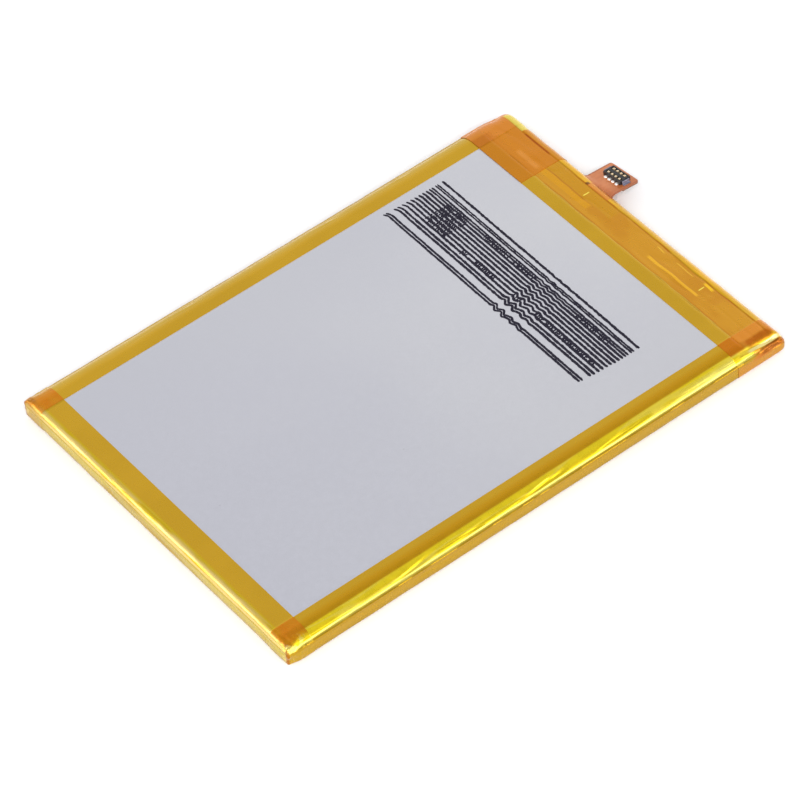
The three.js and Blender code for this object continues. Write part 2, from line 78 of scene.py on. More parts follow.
CAMERA = {"azimuth": 56.21, "elevation": 46.97, "roll": -5.94, "distance": 717.2}
CAMERA_TARGET = (3.99, -3.85, 1.8)
LENS = 216.0
SENSOR = 36.0
# Brightness of the world by the sine of the height above the horizon
SKY_LEVELS = ((0.0, 0.95), (0.35, 0.92), (0.74, 0.80), (0.88, 0.52), (1.0, 0.45))
# Name, direction, then distance, width and height in metres, and radiance
LIGHTS = (
    ("light_right", (0.80, 0.38, 0.38), 0.6, 0.5, 0.34, 1.3),
    ("light_right_low", (0.92, 0.38, 0.10), 0.6, 0.6, 0.05, 5.0),
    ("light_left", (-0.57, -0.73, 0.30), 0.6, 0.6, 0.20, 2.0),
    ("light_camera_side", (0.567, -0.38, 0.731), 0.9, 0.36, 0.36, 11.7),
)
FLOOR_GAP = 0.02
FLOOR_REACH = 3.0  # metres


def placed(name, data):
    """A new object in the scene."""
    made = bpy.data.objects.new(name, data)
    bpy.context.scene.collection.objects.link(made)
    return made


def make_camera():
    azimuth, elevation, roll = (math.radians(CAMERA[key]) for key in ("azimuth", "elevation", "roll"))
    flat = math.cos(elevation)
    back = Vector((math.sin(azimuth) * flat, -math.cos(azimuth) * flat, math.sin(elevation)))
    level = Vector((0, 0, 1)).cross(back).normalized()
    upright = back.cross(level)
    right = level * math.cos(roll) + upright * math.sin(roll)
    up = back.cross(right)
    place = (Vector(CAMERA_TARGET) + back * CAMERA["distance"]) * MM
    data = bpy.data.cameras.new("camera")
    data.lens = LENS
    data.sensor_width = SENSOR
    data.clip_start = 0.05
    data.clip_end = 10.0
    camera = placed("camera", data)
    turned = Matrix((right, up, back)).transposed()
    camera.matrix_world = Matrix.Translation(place) @ turned.to_4x4()
    bpy.context.scene.camera = camera


def softbox(name, direction, distance, width, height, radiance):
    data = bpy.data.lights.new(name, "AREA")
    data.shape = "RECTANGLE"
    data.size = width
    data.size_y = height
    data.energy = radiance * math.pi * width * height
    light = placed(name, data)
    aim = Vector(direction).normalized()
    light.location = aim * distance
    light.rotation_mode = "QUATERNION"
    light.rotation_quaternion = aim.to_track_quat("Z", "Y")


def make_sky():
    world = bpy.data.worlds.new("studio")
    bpy.context.scene.world = world
    world.use_nodes = True
    tree = world.node_tree
    tree.nodes.clear()
    coords = tree.nodes.new("ShaderNodeTexCoord")
    split = tree.nodes.new("ShaderNodeSeparateXYZ")
    ramp = tree.nodes.new("ShaderNodeValToRGB")
    sky = tree.nodes.new("ShaderNodeBackground")
    out = tree.nodes.new("ShaderNodeOutputWorld")
    elements = ramp.color_ramp.elements
    elements[0].position = SKY_LEVELS[0][0]
    elements[1].position = SKY_LEVELS[-1][0]
    for place, _ in SKY_LEVELS[1:-1]:
        elements.new(place)
    for element, (_, level) in zip(elements, SKY_LEVELS):
        element.color = (level, level, level * 1.02, 1.0)
    tree.links.new(coords.outputs["Generated"], split.inputs[0])
    tree.links.new(split.outputs["Z"], ramp.inputs[0])
    tree.links.new(ramp.outputs["Color"], sky.inputs["Color"])
    tree.links.new(sky.outputs[0], out.inputs["Surface"])


def make_floor():
    level = (cad_low.z / MM - FLOOR_GAP) * MM
    mesh = bpy.data.meshes.new("floor")
    corners = [(x * FLOOR_REACH, y * FLOOR_REACH, level) for x, y in ((-1, -1), (1, -1), (1, 1), (-1, 1))]
    mesh.from_pydata(corners, [], [(0, 1, 2, 3)])
    floor = placed("floor", mesh)
    finish = Finish("pale_floor", colour=(0.93, 0.93, 0.935), roughness=0.9)
    finish.vary_colour((0.95, 0.95, 0.955), scale=3.0)
    mesh.materials.append(finish.material)


def make_stage():
    make_sky()
    for light in LIGHTS:
        softbox(*light)
    make_floor()
    bpy.context.scene.view_settings.view_transform = "Standard"


# Materials

ALIKE = (1.0, 1.0, 1.0)


def linear(red, green, blue):
    """A colour named by its 0-255 screen values."""
    def channel(value):
        share = value / 255
        return share / 12.92 if share <= 0.04045 else ((share + 0.055) / 1.055) ** 2.4
    return tuple(channel(value) for value in (red, green, blue))


class Finish:
    """A procedural material in object coordinates (metres), built one layer at a time."""

    def __init__(self, name, colour, roughness, metallic=0.0):
        self.material = bpy.data.materials.new(name)
        self.material.use_nodes = True
        self.tree = self.material.node_tree
        self.shader = self.tree.nodes["Principled BSDF"]
        self.shade({"IOR": 1.5, "Metallic": metallic, "Roughness": roughness, "Base Color": colour})
        self.colour = colour
        self.relief = None
        self.coords = self.node("TexCoord", {}, "Object")
        self.axes = self.split(self.coords)

    def feed(self, source, socket):
        """Gives an input another node's output, or a plain value."""
        if hasattr(source, "is_output"):
            self.tree.links.new(source, socket)
        else:
            socket.default_value = (*source, 1.0) if socket.type == "RGBA" else source

    def shade(self, inputs):
        for name, source in inputs.items():
            self.feed(source, self.shader.inputs[name])

    def node(self, kind, inputs, output=0, **settings):
        """Adds a shader node of this kind, feeds its inputs and returns one of its outputs."""
        made = self.tree.nodes.new("ShaderNode" + kind)
        for key, value in settings.items():
            setattr(made, key, value)
        for key, source in inputs.items():
            self.feed(source, made.inputs[key])
        return made.outputs[output]

    def split(self, coords):
        return self.node("SeparateXYZ", {0: coords}).node.outputs

    def maths(self, operation, *sources):
        return self.node("Math", dict(enumerate(sources)), operation=operation)

    def wobbled(self, amount, scale):
        """Axes that wander by up to half this many millimetres."""
        noise = self.node("TexNoise", {"Scale": scale, "Vector": self.coords}, "Color")
        shift = {0: noise, 1: (amount * MM,) * 3, 2: self.coords}
        shifted = self.node("VectorMath", shift, operation="MULTIPLY_ADD")
        centre = {0: shifted, 1: (amount * MM / 2,) * 3}
        return self.split(self.node("VectorMath", centre, operation="SUBTRACT"))

    def stretched(self, stretch):
        """The coordinates times this share along each axis."""
        return self.node("Mapping", {"Vector": self.coords, "Scale": stretch})

    def noise(self, scale, detail=3.0, stretch=ALIKE):
        """Noise with this many cells to the metre."""
        inputs = {"Scale": scale, "Detail": detail, "Vector": self.stretched(stretch)}
        return self.node("TexNoise", inputs, "Fac")

    def span(self, source, low, high, to_low=0.0, to_high=1.0):
        inputs = {"Value": source, "From Min": low, "From Max": high, "To Min": to_low, "To Max": to_high}
        return self.node("MapRange", inputs, "Result", interpolation_type="SMOOTHSTEP")

    def band(self, letter, low, high, soft):
        """1 between two places along X, Y or Z in millimetres, with soft ends. It is open at an end
        that is None. |X| takes both sides of the middle alike."""
        place = self.axes[letter.strip("|")]
        if letter.startswith("|"):
            place = self.maths("ABSOLUTE", place)
        over_low, over_high = (
            1.0 if edge is None else self.span(place, (edge - soft) * MM, (edge + soft) * MM)
            for edge in (low, high)
        )
        return over_low if high is None else self.maths("SUBTRACT", over_low, over_high)

    def stripes(self, letter, pitch, start, full, fade, end):
        """Lines across an axis. Of each pitch in millimetres, the shares say where one rises and falls."""
        phase = self.maths("FRACT", self.maths("DIVIDE", self.axes[letter], pitch * MM))
        return self.both(self.span(phase, start, full), self.span(phase, end, fade))

    def mask(self, limit):
        """A limit is one of the PATTERNS by name, what band() takes, a share or a socket."""
        if isinstance(limit, str):
            scale, detail, stretch, *levels = PATTERNS[limit]
            return self.span(self.noise(scale, detail, stretch), *levels)
        return self.band(*limit) if isinstance(limit, tuple) else limit

    def both(self, first, *others):
        """The product of these limits."""
        product = self.mask(first)
        for other in others:
            product = self.maths("MULTIPLY", product, self.mask(other))
        return product

    def blend(self, factor, colour, label=""):
        """Lays a colour over the one so far, as much as the factor says."""
        inputs = {"Factor": factor, "A": self.colour, "B": colour}
        self.colour = self.node("Mix", inputs, "Result", data_type="RGBA", label=label)
        self.shade({"Base Color": self.colour})

    def tint(self, label, colour, *limits):
        """Lays a screen colour over the one so far, within all the limits."""
        self.blend(self.both(*limits), linear(*colour), label)

    def vary_colour(self, colour, scale, stretch=ALIKE, low=0.35, high=0.65, detail=4.0, amount=1.0):
        self.blend(self.span(self.noise(scale, detail, stretch), low, high, 0.0, amount), colour)

    def vary_roughness(self, low, high, scale, stretch=ALIKE):
        self.shade({"Roughness": self.span(self.noise(scale, 3.0, stretch), 0.3, 0.7, low, high)})

    def bump(self, height, depth):
        """Relief of this depth in millimetres."""
        inputs = {"Strength": 1.0, "Distance": depth * MM, "Height": height}
        if self.relief is not None:
            inputs["Normal"] = self.relief
        self.relief = self.node("Bump", inputs, "Normal")
        self.shade({"Normal": self.relief})

    def coat(self, weight, roughness, tint=(1.0, 1.0, 1.0)):
        self.shade({"Coat Weight": weight, "Coat Roughness": roughness, "Coat Tint": tint})


# Where the tapes end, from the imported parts

side_low, side_high = box_mm("side_tape_right")
tail_low, tail_high = box_mm("tail_tape")
head_low, head_high = box_mm("head_tape")
patch_high = box_mm("head_corner_tape")[1]
cup_high = box_mm("pouch_cup")[1]
root_low, root_high = box_mm("flex_root")

TAPE = 0.05
GAP = 0.006
LAYER = TAPE + GAP
LAMINATE = 0.11
WINDOW_X = side_low[0]
WINDOW_TAIL = tail_high[1]
WINDOW_HEAD = head_low[1]
PATCH_X = patch_high[0]
CELL_HEAD = 40.2
SLOPE_START = 44.9

# The bare foil's envelope under the tapes
FOIL_X = side_high[0] - LAYER
FOIL_TAIL = tail_low[1] + 2 * LAYER
FOIL_HEAD = head_high[1] - 2 * LAYER
FOIL_BACK = side_low[2] + LAYER
FOIL_FRONT = side_high[2] - LAYER
MIDDLE = (FOIL_BACK + FOIL_FRONT) / 2

SHOULDER_WIDE = 2.8
FOOT_WIDE = 1.0
SHOULDER = 1.25
TAIL_ROUND = 1.05
BACK_ROUND = 0.55
HEAD_ROUND_Y = FOIL_HEAD - SLOPE_START
HEAD_ROUND_Z = 2.3
TAIL_SQUARENESS = 10.0
FOOT_SQUARENESS = 3.4
TOP_SQUARENESS = 2.0
HEAD_SQUARENESS = {"left": 3.2, "right": 5.5}
SEAM_STEP = 0.34
SEAM_TOP = 2.55
# Where the seam's step fades out toward the head
SEAM_FADES = (43.0, 46.4)
# How far the bare foil stands under the tapes, and how far its window rises
UNDER_TAPE = 0.16
PANEL_RISE = 0.02
# How far each layer of tape is pressed down where the next one covers it
PRESSED = (0.08, 0.05, 0.0)


def smooth(value, low, high):
    share = np.clip((value - low) / (high - low), 0, 1)
    return share * share * (3 - 2 * share)


def bell(value, middle, width):
    return np.exp(-((value - middle) / width) ** 2)


def random_heights(points, seed):
    """Smooth random heights from -1 to 1 at an N x 3 array of points, one cell to the unit."""
    cell = np.floor(points).astype(np.int64)
    share = points - cell
    share = share ** 3 * (share * (share * 6 - 15) + 10)
    total = np.zeros(len(points))
    mask = 0x7FFFFFFF
    for corner in itertools.product((0, 1), repeat=3):
        lattice = cell + np.array(corner)
        key = (lattice[:, 0] * 73856093) ^ (lattice[:, 1] * 19349663) ^ (lattice[:, 2] * 83492791)
        key = (key ^ (seed * 974634777)) & mask
        key = ((key ^ (key >> 13)) * 1274126177) & mask
        key = ((key ^ (key >> 15)) * 668265263) & mask
        key = key ^ (key >> 16)
        weight = np.prod(np.where(np.array(corner) == 1, share, 1 - share), axis=1)
        total += ((key & 0xFFFF) / 32767.5 - 1) * weight
    return total


def creases(points, scale, seed):
    """0 on most of the sheet, up to 1 along thin wandering lines."""
    return np.clip(1 - np.abs(random_heights(points * scale, seed)) * 5, 0, 1)


def worn(points, area, swell, crease):
    """Lowers an area by smooth swells and by thin creases, each of this depth, scale and seed."""
    swell_depth, swell_scale, swell_seed = swell
    depth, scale, seed = crease
    lowered = area * swell_depth * (random_heights(points * swell_scale, swell_seed) - 1) / 2
    return lowered - area * depth * creases(points, scale, seed)


def wander(x, scale, seed, lane=0.0):
    """Random heights along a line. Each lane has its own."""
    return random_heights(np.stack([x * scale, x * 0 + lane, x * 0], 1), seed)


def crinkles(points, scale, seed):
    """Facets with sharp folds between them, from -1 to 0."""
    total = np.zeros(len(points))
    for octave in range(3):
        size = 2.0 ** octave
        shifted = points * np.array(scale) * size + 7.3 * octave
        total -= np.abs(random_heights(shifted, seed + octave)) / size
    return total / 1.75


# The wrapped shape: a box cage rounded at its edges, with the seam step and the tapes' relief

class Cage:
    """Grids on the faces of a box, joined along its edges."""

    def __init__(self):
        self.points = []
        self.quads = []
        self.count = 0

    def patch(self, axis, level, us, vs, outward):
        u, v = np.meshgrid(us, vs, indexing="ij")
        grid = np.empty(u.shape + (3,))
        grid[..., axis] = level
        grid[..., (axis + 1) % 3] = u
        grid[..., (axis + 2) % 3] = v
        index = self.count + np.arange(u.size).reshape(u.shape)
        corners = [index[:-1, :-1], index[1:, :-1], index[1:, 1:], index[:-1, 1:]]
        if outward < 0:
            corners.reverse()
        self.quads.append(np.stack(corners, -1).reshape(-1, 4))
        self.points.append(grid.reshape(-1, 3))
        self.count += u.size

    def side_walls(self, signs, along, up):
        """Walls on these sides, -1 left and 1 right."""
        for sign in signs:
            self.patch(0, sign * FOIL_X, along, up, sign)

    def merged(self):
        points = np.round(np.concatenate(self.points), 5)
        points, index = np.unique(points, axis=0, return_inverse=True)
        quads = index.reshape(-1)[np.concatenate(self.quads)]
        return points, quads


def stations(*stretches):
    """Grid lines over stretches of (start, end, spacing)."""
    lines = []
    for start, end, spacing in stretches:
        count = max(1, round(abs(end - start) / spacing))
        lines.extend(np.linspace(start, end, count + 1))
    return np.unique(np.round(lines, 5))


def rounded(cage, head, head_round):
    """Rounds the cage's edges. head is where the shape ends and head_round its (Y, Z) radii."""
    x, y, z = cage.T
    toward_head = smooth(y, head - head_round[0] - 3.5, head - head_round[0])
    toward_tail = 1 - smooth(y, FOIL_TAIL + TAIL_ROUND, FOIL_TAIL + TAIL_ROUND + 2)
    top = SHOULDER + (head_round[1] - SHOULDER) * toward_head + (TAIL_ROUND - SHOULDER) * toward_tail
    reach_x = FOOT_WIDE + (SHOULDER_WIDE - FOOT_WIDE) * smooth(z, 1.9, 2.3)
    reach_y = np.where(y > 0, head_round[0], TAIL_ROUND)
    reach_z = np.where(z > MIDDLE, top, BACK_ROUND)
    inner_x = np.clip(x, -FOIL_X + reach_x, FOIL_X - reach_x)
    inner_y = np.clip(y, FOIL_TAIL + TAIL_ROUND, head - head_round[0])
    inner_z = np.clip(z, FOIL_BACK + BACK_ROUND, FOIL_FRONT - top)
    inner = np.stack([inner_x, inner_y, inner_z], 1)
    reach = np.stack([reach_x, reach_y, reach_z], 1)
    pull = np.abs((cage - inner) / reach)
    head_power = np.where(x > 0, HEAD_SQUARENESS["right"], HEAD_SQUARENESS["left"])
    power = np.where(y > 0, head_power, TAIL_SQUARENESS)
    plan = np.sum(pull[:, :2] ** power[:, None], axis=1) ** (1 / power)
    squareness = FOOT_SQUARENESS + (TOP_SQUARENESS - FOOT_SQUARENESS) * smooth(z, 0.7, 1.9)
    length = (plan ** squareness + pull[:, 2] ** squareness) ** (1 / squareness)
    return inner + np.sign(cage - inner) * pull / length[:, None] * reach


def with_seam(points):
    """The front shoulders stand back from the folded seam, whose top edge makes a crease."""
    x, y, z = points.T
    wobble = 0.035 * random_heights(np.stack([x * 0, y * 0.35, x * 0 + np.sign(x)], 1), 3)
    above = smooth(z + wobble, SEAM_TOP - 0.11, SEAM_TOP + 0.10)
    across = smooth(np.abs(x), WINDOW_X + 0.6, WINDOW_X + 3.2)
    along = smooth(y, FOIL_TAIL + 0.5, FOIL_TAIL + 2.0) * (1 - smooth(y, *SEAM_FADES))
    moved = points.copy()
    moved[:, 0] -= np.sign(x) * SEAM_STEP * above * across * along
    return moved


# Depth, scale and seed of the swells and of the creases in each area
SHOULDER_WEAR = ((0.035, (0.5, 0.11, 0.9), 11), (0.03, (1.1, 0.13, 1.5), 12))
WALL_WEAR = ((0.045, (0.3, 0.22, 1.1), 13), (0.03, (0.6, 0.10, 0.9), 14))
TAIL_UPPER_WEAR = ((0.05, (0.16, 0.6, 0.9), 21), (0.03, (0.22, 1.2, 1.5), 22))
TAIL_LOWER_WEAR = ((0.07, (0.2, 0.5, 1.1), 23), (0.05, (0.13, 0.4, 0.9), 24))
# Which side, place along it, length and depth
SHOULDER_DENTS = (
    (1, 0.6, 2.3, 0.085), (1, 3.6, 1.5, 0.05), (1, -23.0, 3.2, 0.06), (1, -12.0, 4.0, 0.03),
    (1, 15.0, 3.0, 0.03), (-1, -18.0, 3.0, 0.05), (-1, 9.0, 3.6, 0.05), (-1, 24.0, 2.2, 0.06),
)
DENT_LEVEL = 3.05
DENT_SLANT = 0.05
DENT_WIDTH = 0.16
DENT_RIDGE_RISE = 0.22
DENT_RIDGE_WIDTH = 0.09
# Which side, which end and depth of the crinkles on each corner
CORNERS = ((1, -1, 0.36), (-1, -1, 0.20), (1, 1, 0.20), (-1, 1, 0.10))
CORNER_REACH_X = 2.6
CORNER_REACH_Y = {-1: 3.6, 1: 5.0}
ON_SHOULDER = (SEAM_TOP, SEAM_TOP + 0.25)
END_FOLD_LEVEL = 2.48


def long_side_relief(points):
    x, y, z = points.T
    side = smooth(np.abs(x), WINDOW_X + 1.6, WINDOW_X + 3.3)
    shoulder = side * smooth(z, *ON_SHOULDER)
    wall = side * (1 - smooth(z, 2.2, 2.45)) * smooth(z, -0.05, 0.4)
    relief = worn(points, shoulder, *SHOULDER_WEAR) + worn(points, wall, *WALL_WEAR)
    for sign, place, length, depth in SHOULDER_DENTS:
        level = DENT_LEVEL + DENT_SLANT * (y - place)
        dent = bell(y, place, length) * bell(z, level, DENT_WIDTH)
        ridge = bell(y, place, length * 0.8) * bell(z, level + DENT_RIDGE_RISE, DENT_RIDGE_WIDTH)
        relief += np.where(np.sign(x) == sign, shoulder * 1.6 * depth * (0.5 * ridge - dent), 0)
    return relief


def tail_relief(points):
    x, y, z = points.T
    end = 1 - smooth(y, FOIL_TAIL + 0.15, FOIL_TAIL + 1.1)
    upper = end * smooth(z, *ON_SHOULDER)
    lower = end * (1 - smooth(z, 2.5, 2.7)) * smooth(z, -0.05, 0.3)
    relief = worn(points, upper, *TAIL_UPPER_WEAR) + worn(points, lower, *TAIL_LOWER_WEAR)
    fold = END_FOLD_LEVEL + 0.10 * wander(x, 0.12, 25)
    return relief - end * 0.07 * bell(z, fold, 0.07)


def corner_relief(points):
    x, y, z = points.T
    relief = np.zeros(len(points))
    for sign_x, sign_y, depth in CORNERS:
        end = FOIL_HEAD if sign_y > 0 else -FOIL_TAIL
        away_x = np.clip((FOIL_X - sign_x * x) / CORNER_REACH_X, 0, None)
        away_y = np.clip((end - sign_y * y) / CORNER_REACH_Y[sign_y], 0, None)
        near = np.exp(-(away_x ** 2 + away_y ** 2)) * smooth(z, 0.1, 0.8)
        folds = crinkles(points, (0.75, 0.6, 0.75), 31 + 3 * sign_x + sign_y)
        relief += near * depth * (folds + 0.35)
    return relief


def ridge_line(points, start, end, width):
    """A bell of the distance to a straight line between two points."""
    along = end - start
    share = np.clip((points - start) @ along / (along @ along), 0, 1)
    gap = np.linalg.norm(points - start - share[:, None] * along, axis=1)
    return np.exp(-(gap / width) ** 2)


CUTOFF_RIDGE_Y = 42.05
# Points along the ridge of the right head corner
HEAD_RIDGE = np.array(((32.35, 39.2, 3.05), (32.75, 43.0, 2.75), (33.0, 46.2, 2.1)))
VALLEY_START = (-0.5, 0.0, 0.42)
VALLEY_END = (-0.7, -0.5, 0.55)
# Place and length of the pinched creases of the head tape
PINCHES = ((-9.5, 43.6, 0.75), (17.9, 43.4, 0.55), (-28.9, 41.3, 0.35))


def head_relief(points):
    x, y, z = points.T
    front = smooth(z, 2.2, 2.9)
    flat = smooth(z, FOIL_FRONT - 0.25, FOIL_FRONT - 0.02)
    inside = 1 - smooth(np.abs(x), WINDOW_X + 1.5, WINDOW_X + 3.5)
    groove = CELL_HEAD + 0.08 * wander(x, 0.35, 41)
    relief = -flat * inside * (0.10 * bell(y, groove, 0.16) + 0.05 * bell(y, groove + 0.5, 0.5))
    board = smooth(y, CELL_HEAD + 0.3, CELL_HEAD + 1.2)
    board = board * (1 - smooth(y, SLOPE_START, SLOPE_START + 1.2)) * inside * front
    relief -= board * (0.05 + 0.04 * random_heights(points * (0.14, 0.45, 0.1), 42))
    relief -= board * 0.05 * creases(points, (0.16, 0.5, 0.1), 43)
    edge = SLOPE_START + 0.12 * wander(x, 0.18, 44)
    relief -= front * inside * 0.07 * bell(y, edge, 0.13)
    relief += front * inside * 0.02 * bell(y, edge + 0.35, 0.2)
    strip_low, strip_high = (box[0] for box in box_mm("thermal_cutoff"))
    on_strip = smooth(x, strip_low + 1.2, strip_low + 1.6)
    on_strip = on_strip * (1 - smooth(x, strip_high + 0.6, strip_high + 1.2))
    relief += flat * on_strip * 0.07 * bell(y, CUTOFF_RIDGE_Y, 0.32)
    for node in ("mosfet_1", "mosfet_2", "protection_ic", "thermistor"):
        middle = sum(box_mm(node)) / 2
        relief += flat * 0.06 * bell(x, middle[0], 1.5) * bell(y, middle[1], 1.0)
    slope = smooth(y, SLOPE_START + 0.2, SLOPE_START + 1.0) * front
    relief -= slope * inside * 0.06 * np.abs(random_heights(points * (0.25, 0.3, 0.3), 45))
    return relief


def head_corner_relief(points):
    relief = np.zeros(len(points))
    x, y, z = points.T
    for start, end in zip(HEAD_RIDGE, HEAD_RIDGE[1:]):
        relief += 0.10 * ridge_line(points, start, end, 0.26)
        relief -= 0.16 * ridge_line(points, start + VALLEY_START, end + VALLEY_END, 0.34)
    for place_x, place_y, length in PINCHES:
        line = bell(x, place_x + 0.25 * (y - place_y), 0.09) * bell(y, place_y, length)
        relief += 0.07 * line * smooth(z, FOIL_FRONT - 0.3, FOIL_FRONT - 0.05)
    return relief


def vertex_normals(points, quads):
    first, second, third, fourth = (points[quads[:, i]] for i in range(4))
    faces = np.cross(third - first, fourth - second)
    normals = np.zeros_like(points)
    for i in range(4):
        np.add.at(normals, quads[:, i], faces)
    return normals / np.linalg.norm(normals, axis=1)[:, None]


def wrapped(cage, quads):
    """The foil's surface at the cage's points, with every bump that all layers share."""
    points = with_seam(rounded(cage, FOIL_HEAD, (HEAD_ROUND_Y, HEAD_ROUND_Z)))
    relief = long_side_relief(points) + tail_relief(points) + corner_relief(points)
    relief += head_relief(points) + head_corner_relief(points)
    relief = np.clip(relief, -0.3, 0.15)
    return drawn_in(points + vertex_normals(points, quads) * relief[:, None])


DRAWN_IN = 0.38
# The stretches over which the drawing in fades
DRAWN_IN_X = (30.8, 32.8)
DRAWN_IN_Y = (-46.8, -44.6)
DRAWN_IN_Z = (0.8, 2.6)


def drawn_in(points):
    """The tail corners are narrower, most of all at their feet."""
    x, y, z = points.T
    near = smooth(np.abs(x), *DRAWN_IN_X) * (1 - smooth(y, *DRAWN_IN_Y)) * (1 - 0.7 * smooth(z, *DRAWN_IN_Z))
    moved = points.copy()
    moved[:, 0] -= np.sign(x) * DRAWN_IN * near
    return moved


BOX_MARGIN = 0.002


def inside_cad_box(points):
    return np.clip(points, np.array(cad_low) / MM + BOX_MARGIN, np.array(cad_high) / MM - BOX_MARGIN)


SHARP_ANGLE = math.radians(40)


def make_object(name, points, faces, material):
    mesh = bpy.data.meshes.new(name)
    mesh.from_pydata((np.asarray(points) * MM).tolist(), [], [list(face) for face in faces])
    mesh.validate()
    mesh.polygons.foreach_set("use_smooth", [True] * len(mesh.polygons))
    mesh.set_sharp_from_angle(angle=SHARP_ANGLE)
    mesh.update()
    mesh.materials.append(material)
    return placed(name, mesh)


def closed_sheet(surface, quads, lift, thickness):
    """Points and faces of a closed sheet: its under side at lift above the surface."""
    normals = vertex_normals(surface, quads)
    under = surface + normals * np.broadcast_to(lift, len(surface))[:, None]
    over = under + normals * thickness
    count = len(surface)
    faces = [tuple(quad + count) for quad in quads]
    faces.extend(tuple(quad[::-1]) for quad in quads)
    edges = {}
    for quad in quads.tolist():
        for a, b in zip(quad, quad[1:] + quad[:1]):
            if (b, a) in edges:
                del edges[(b, a)]
            else:
                edges[(a, b)] = True
    faces.extend((a, b, b + count, a + count) for a, b in edges)
    return np.concatenate([under, over]), faces


# Tapes

def tape_finish(name, under_colour):
    """Amber film on foil. under_colour adds the layers and what lies below, with painted highlights and
    painted shade, in place.
    """
    finish = Finish(name, linear(214, 168, 34), roughness=0.3, metallic=0.85)
    finish.vary_colour(linear(208, 163, 30), scale=160.0, stretch=(1.0, 0.5, 1.0), detail=2.0, amount=0.8)
    under_colour(finish)
    finish.vary_roughness(0.24, 0.34, scale=700.0)
    finish.bump(finish.noise(1500.0, 2.0), 0.0006)
    finish.bump(finish.noise(420.0, 2.0, (1.0, 0.6, 1.0)), 0.008)
    finish.coat(0.2, 0.10, (1.0, 0.97, 0.88))
    return finish.material


# Patterns: cells to the metre, detail, stretch, then the noise levels at which each goes from 0 to 1,
# or from and to the two shares that follow
PATTERNS = {
    "streaked_highlight": (900.0, 4.0, (0.12, 1.0, 1.0), 0.36, 0.52),
    "stains": (420.0, 4.0, (0.3, 1.0, 1.0), 0.50, 0.66),
    "glints": (900.0, 3.0, ALIKE, 0.5, 0.6),
    "uneven": (500.0, 3.0, ALIKE, 0.3, 0.7, 0.75, 1.0),
    "ragged_highlight": (1500.0, 3.0, (1.0, 1.0, 0.6), 0.53, 0.60),
    "above_outline": (560.0, 1.0, (1.0, 0.10, 1.0), 0.42, 0.46),
    "below_outline": (560.0, 1.0, (1.0, 0.10, 1.0), 0.52, 0.48),
    "mottled": (230.0, 4.0, (0.4, 1.0, 1.0), 0.45, 0.62),
    "patchy": (90.0, 3.0, (1.0, 0.1, 0.1), 0.40, 0.60, 0.45, 0.95),
    "broken": (150.0, 3.0, (1.0, 0.1, 0.1), 0.40, 0.58, 0.25, 0.9),
    "foil_marks": (90.0, 2.0, ALIKE, 0.62, 0.66),
    "track_breaks": (120.0, 2.0, ALIKE, 0.48, 0.50),
}

# Tones of the films, laid one over the other: name, screen colour and limits. Some are painted highlights and
# painted shade. A limit is a band of (axis, low, high, soft end), a pattern's name or a share.
FRONT = ("Z", 3.0, None, 0.1)
LONG_SIDES = ("|X|", FOIL_X - 0.5, None, 0.2)
WALLS = (("Z", None, SEAM_TOP - 0.1, 0.08), LONG_SIDES)
ROLLED_EDGE = (("X", 31.25, None, 0.2), ("Z", SEAM_TOP, None, 0.06))
# Painted shade in the crease over the seam.
CREASE_SHADE = ("crease over the seam", (184, 142, 4), ("Z", 2.02, 2.63, 0.08), ("|X|", 32.2, None, 0.1),
          ("Y", -46.4, None, 0.4), ("Y", None, 41.5, 1.5), 0.9)
# Painted highlights and reflections on the rolled shoulder: bright yellow along it, a brighter inner strip,
# light lines outlining its folds and a cream line at its foot.
SHOULDER_HIGHLIGHTS = (
    ("rolled edge", (238, 208, 20), *ROLLED_EDGE, 0.95),
    ("inner strip", (255, 228, 34), *ROLLED_EDGE, ("X", None, 32.05, 0.25), 0.9),
    ("fold outlines", (254, 232, 90), *ROLLED_EDGE, "above_outline", "below_outline", 0.6),
    ("edge foot", (255, 242, 120), *ROLLED_EDGE, ("Z", None, 2.84, 0.06), 0.85),
)
# A band of painted dark reflection where the front begins to round over.
SIDE_DARK_REFLECTION = (
    ("flat band", (208, 154, 0), ("X", 29.7, 31.35, 0.5), FRONT, 0.95),
)
SIDE_TONES = (
    # Painted highlight, wide and cream, along the shoulder toward the head.
    ("wide edge", (255, 244, 130), *ROLLED_EDGE, ("Y", 29.0, 41.0, 3.0), ("X", 31.85, None, 0.25), 0.6),
    ("far edge", (206, 176, 66), ("X", None, -31.3, 0.8), 0.6),
    # Painted shade: the walls darker than the front; the wall foot is darker still towards the bottom.
    ("walls", (190, 150, 22), *WALLS),
    ("wall foot", (180, 144, 28), ("Z", None, 0.9, 0.4), LONG_SIDES, 0.9),
    CREASE_SHADE,
)

TAIL_END = ("Y", None, -45.95, 0.4)
END_WALL = ("Y", None, -46.7, 0.1)
TAIL_TONES = (
    ("end", (222, 188, 44), TAIL_END, 0.95),
    # Painted highlight: a bright rim where the front starts to turn over the tail end.
    ("rim_highlight", (214, 182, 0), ("Y", -46.15, -45.55, 0.2), FRONT, 0.85),
    # Painted highlight in cream streaks on the tail shoulder.
    ("streaked_highlight", (234, 206, 128), TAIL_END, ("Z", 2.62, None, 0.08), "streaked_highlight", 0.9),
    ("shoulder line", (206, 166, 24), TAIL_END, ("Z", 3.02, 3.16, 0.04), 0.5),
    ("end wall", (206, 184, 66), END_WALL, ("Z", None, 2.5, 0.1)),
    ("end foot", (182, 152, 78), END_WALL, ("Z", None, 0.9, 0.5), 0.7),
    ("stains", (186, 150, 24), END_WALL, ("Z", None, 2.5, 0.1), "stains", 0.6),
    # Painted shade in the fold across the end wall.
    ("end fold", (188, 150, 16), ("Y", None, -46.6, 0.1), ("Z", 2.30, 2.52, 0.07), 0.6),
    ("left end", (188, 142, 34), ("Y", None, -46.2, 0.3), ("X", None, -28.4, 2.2), 0.6),
    # Painted shade: the long walls darker than the front.
    ("walls", (190, 152, 26), *WALLS),
)
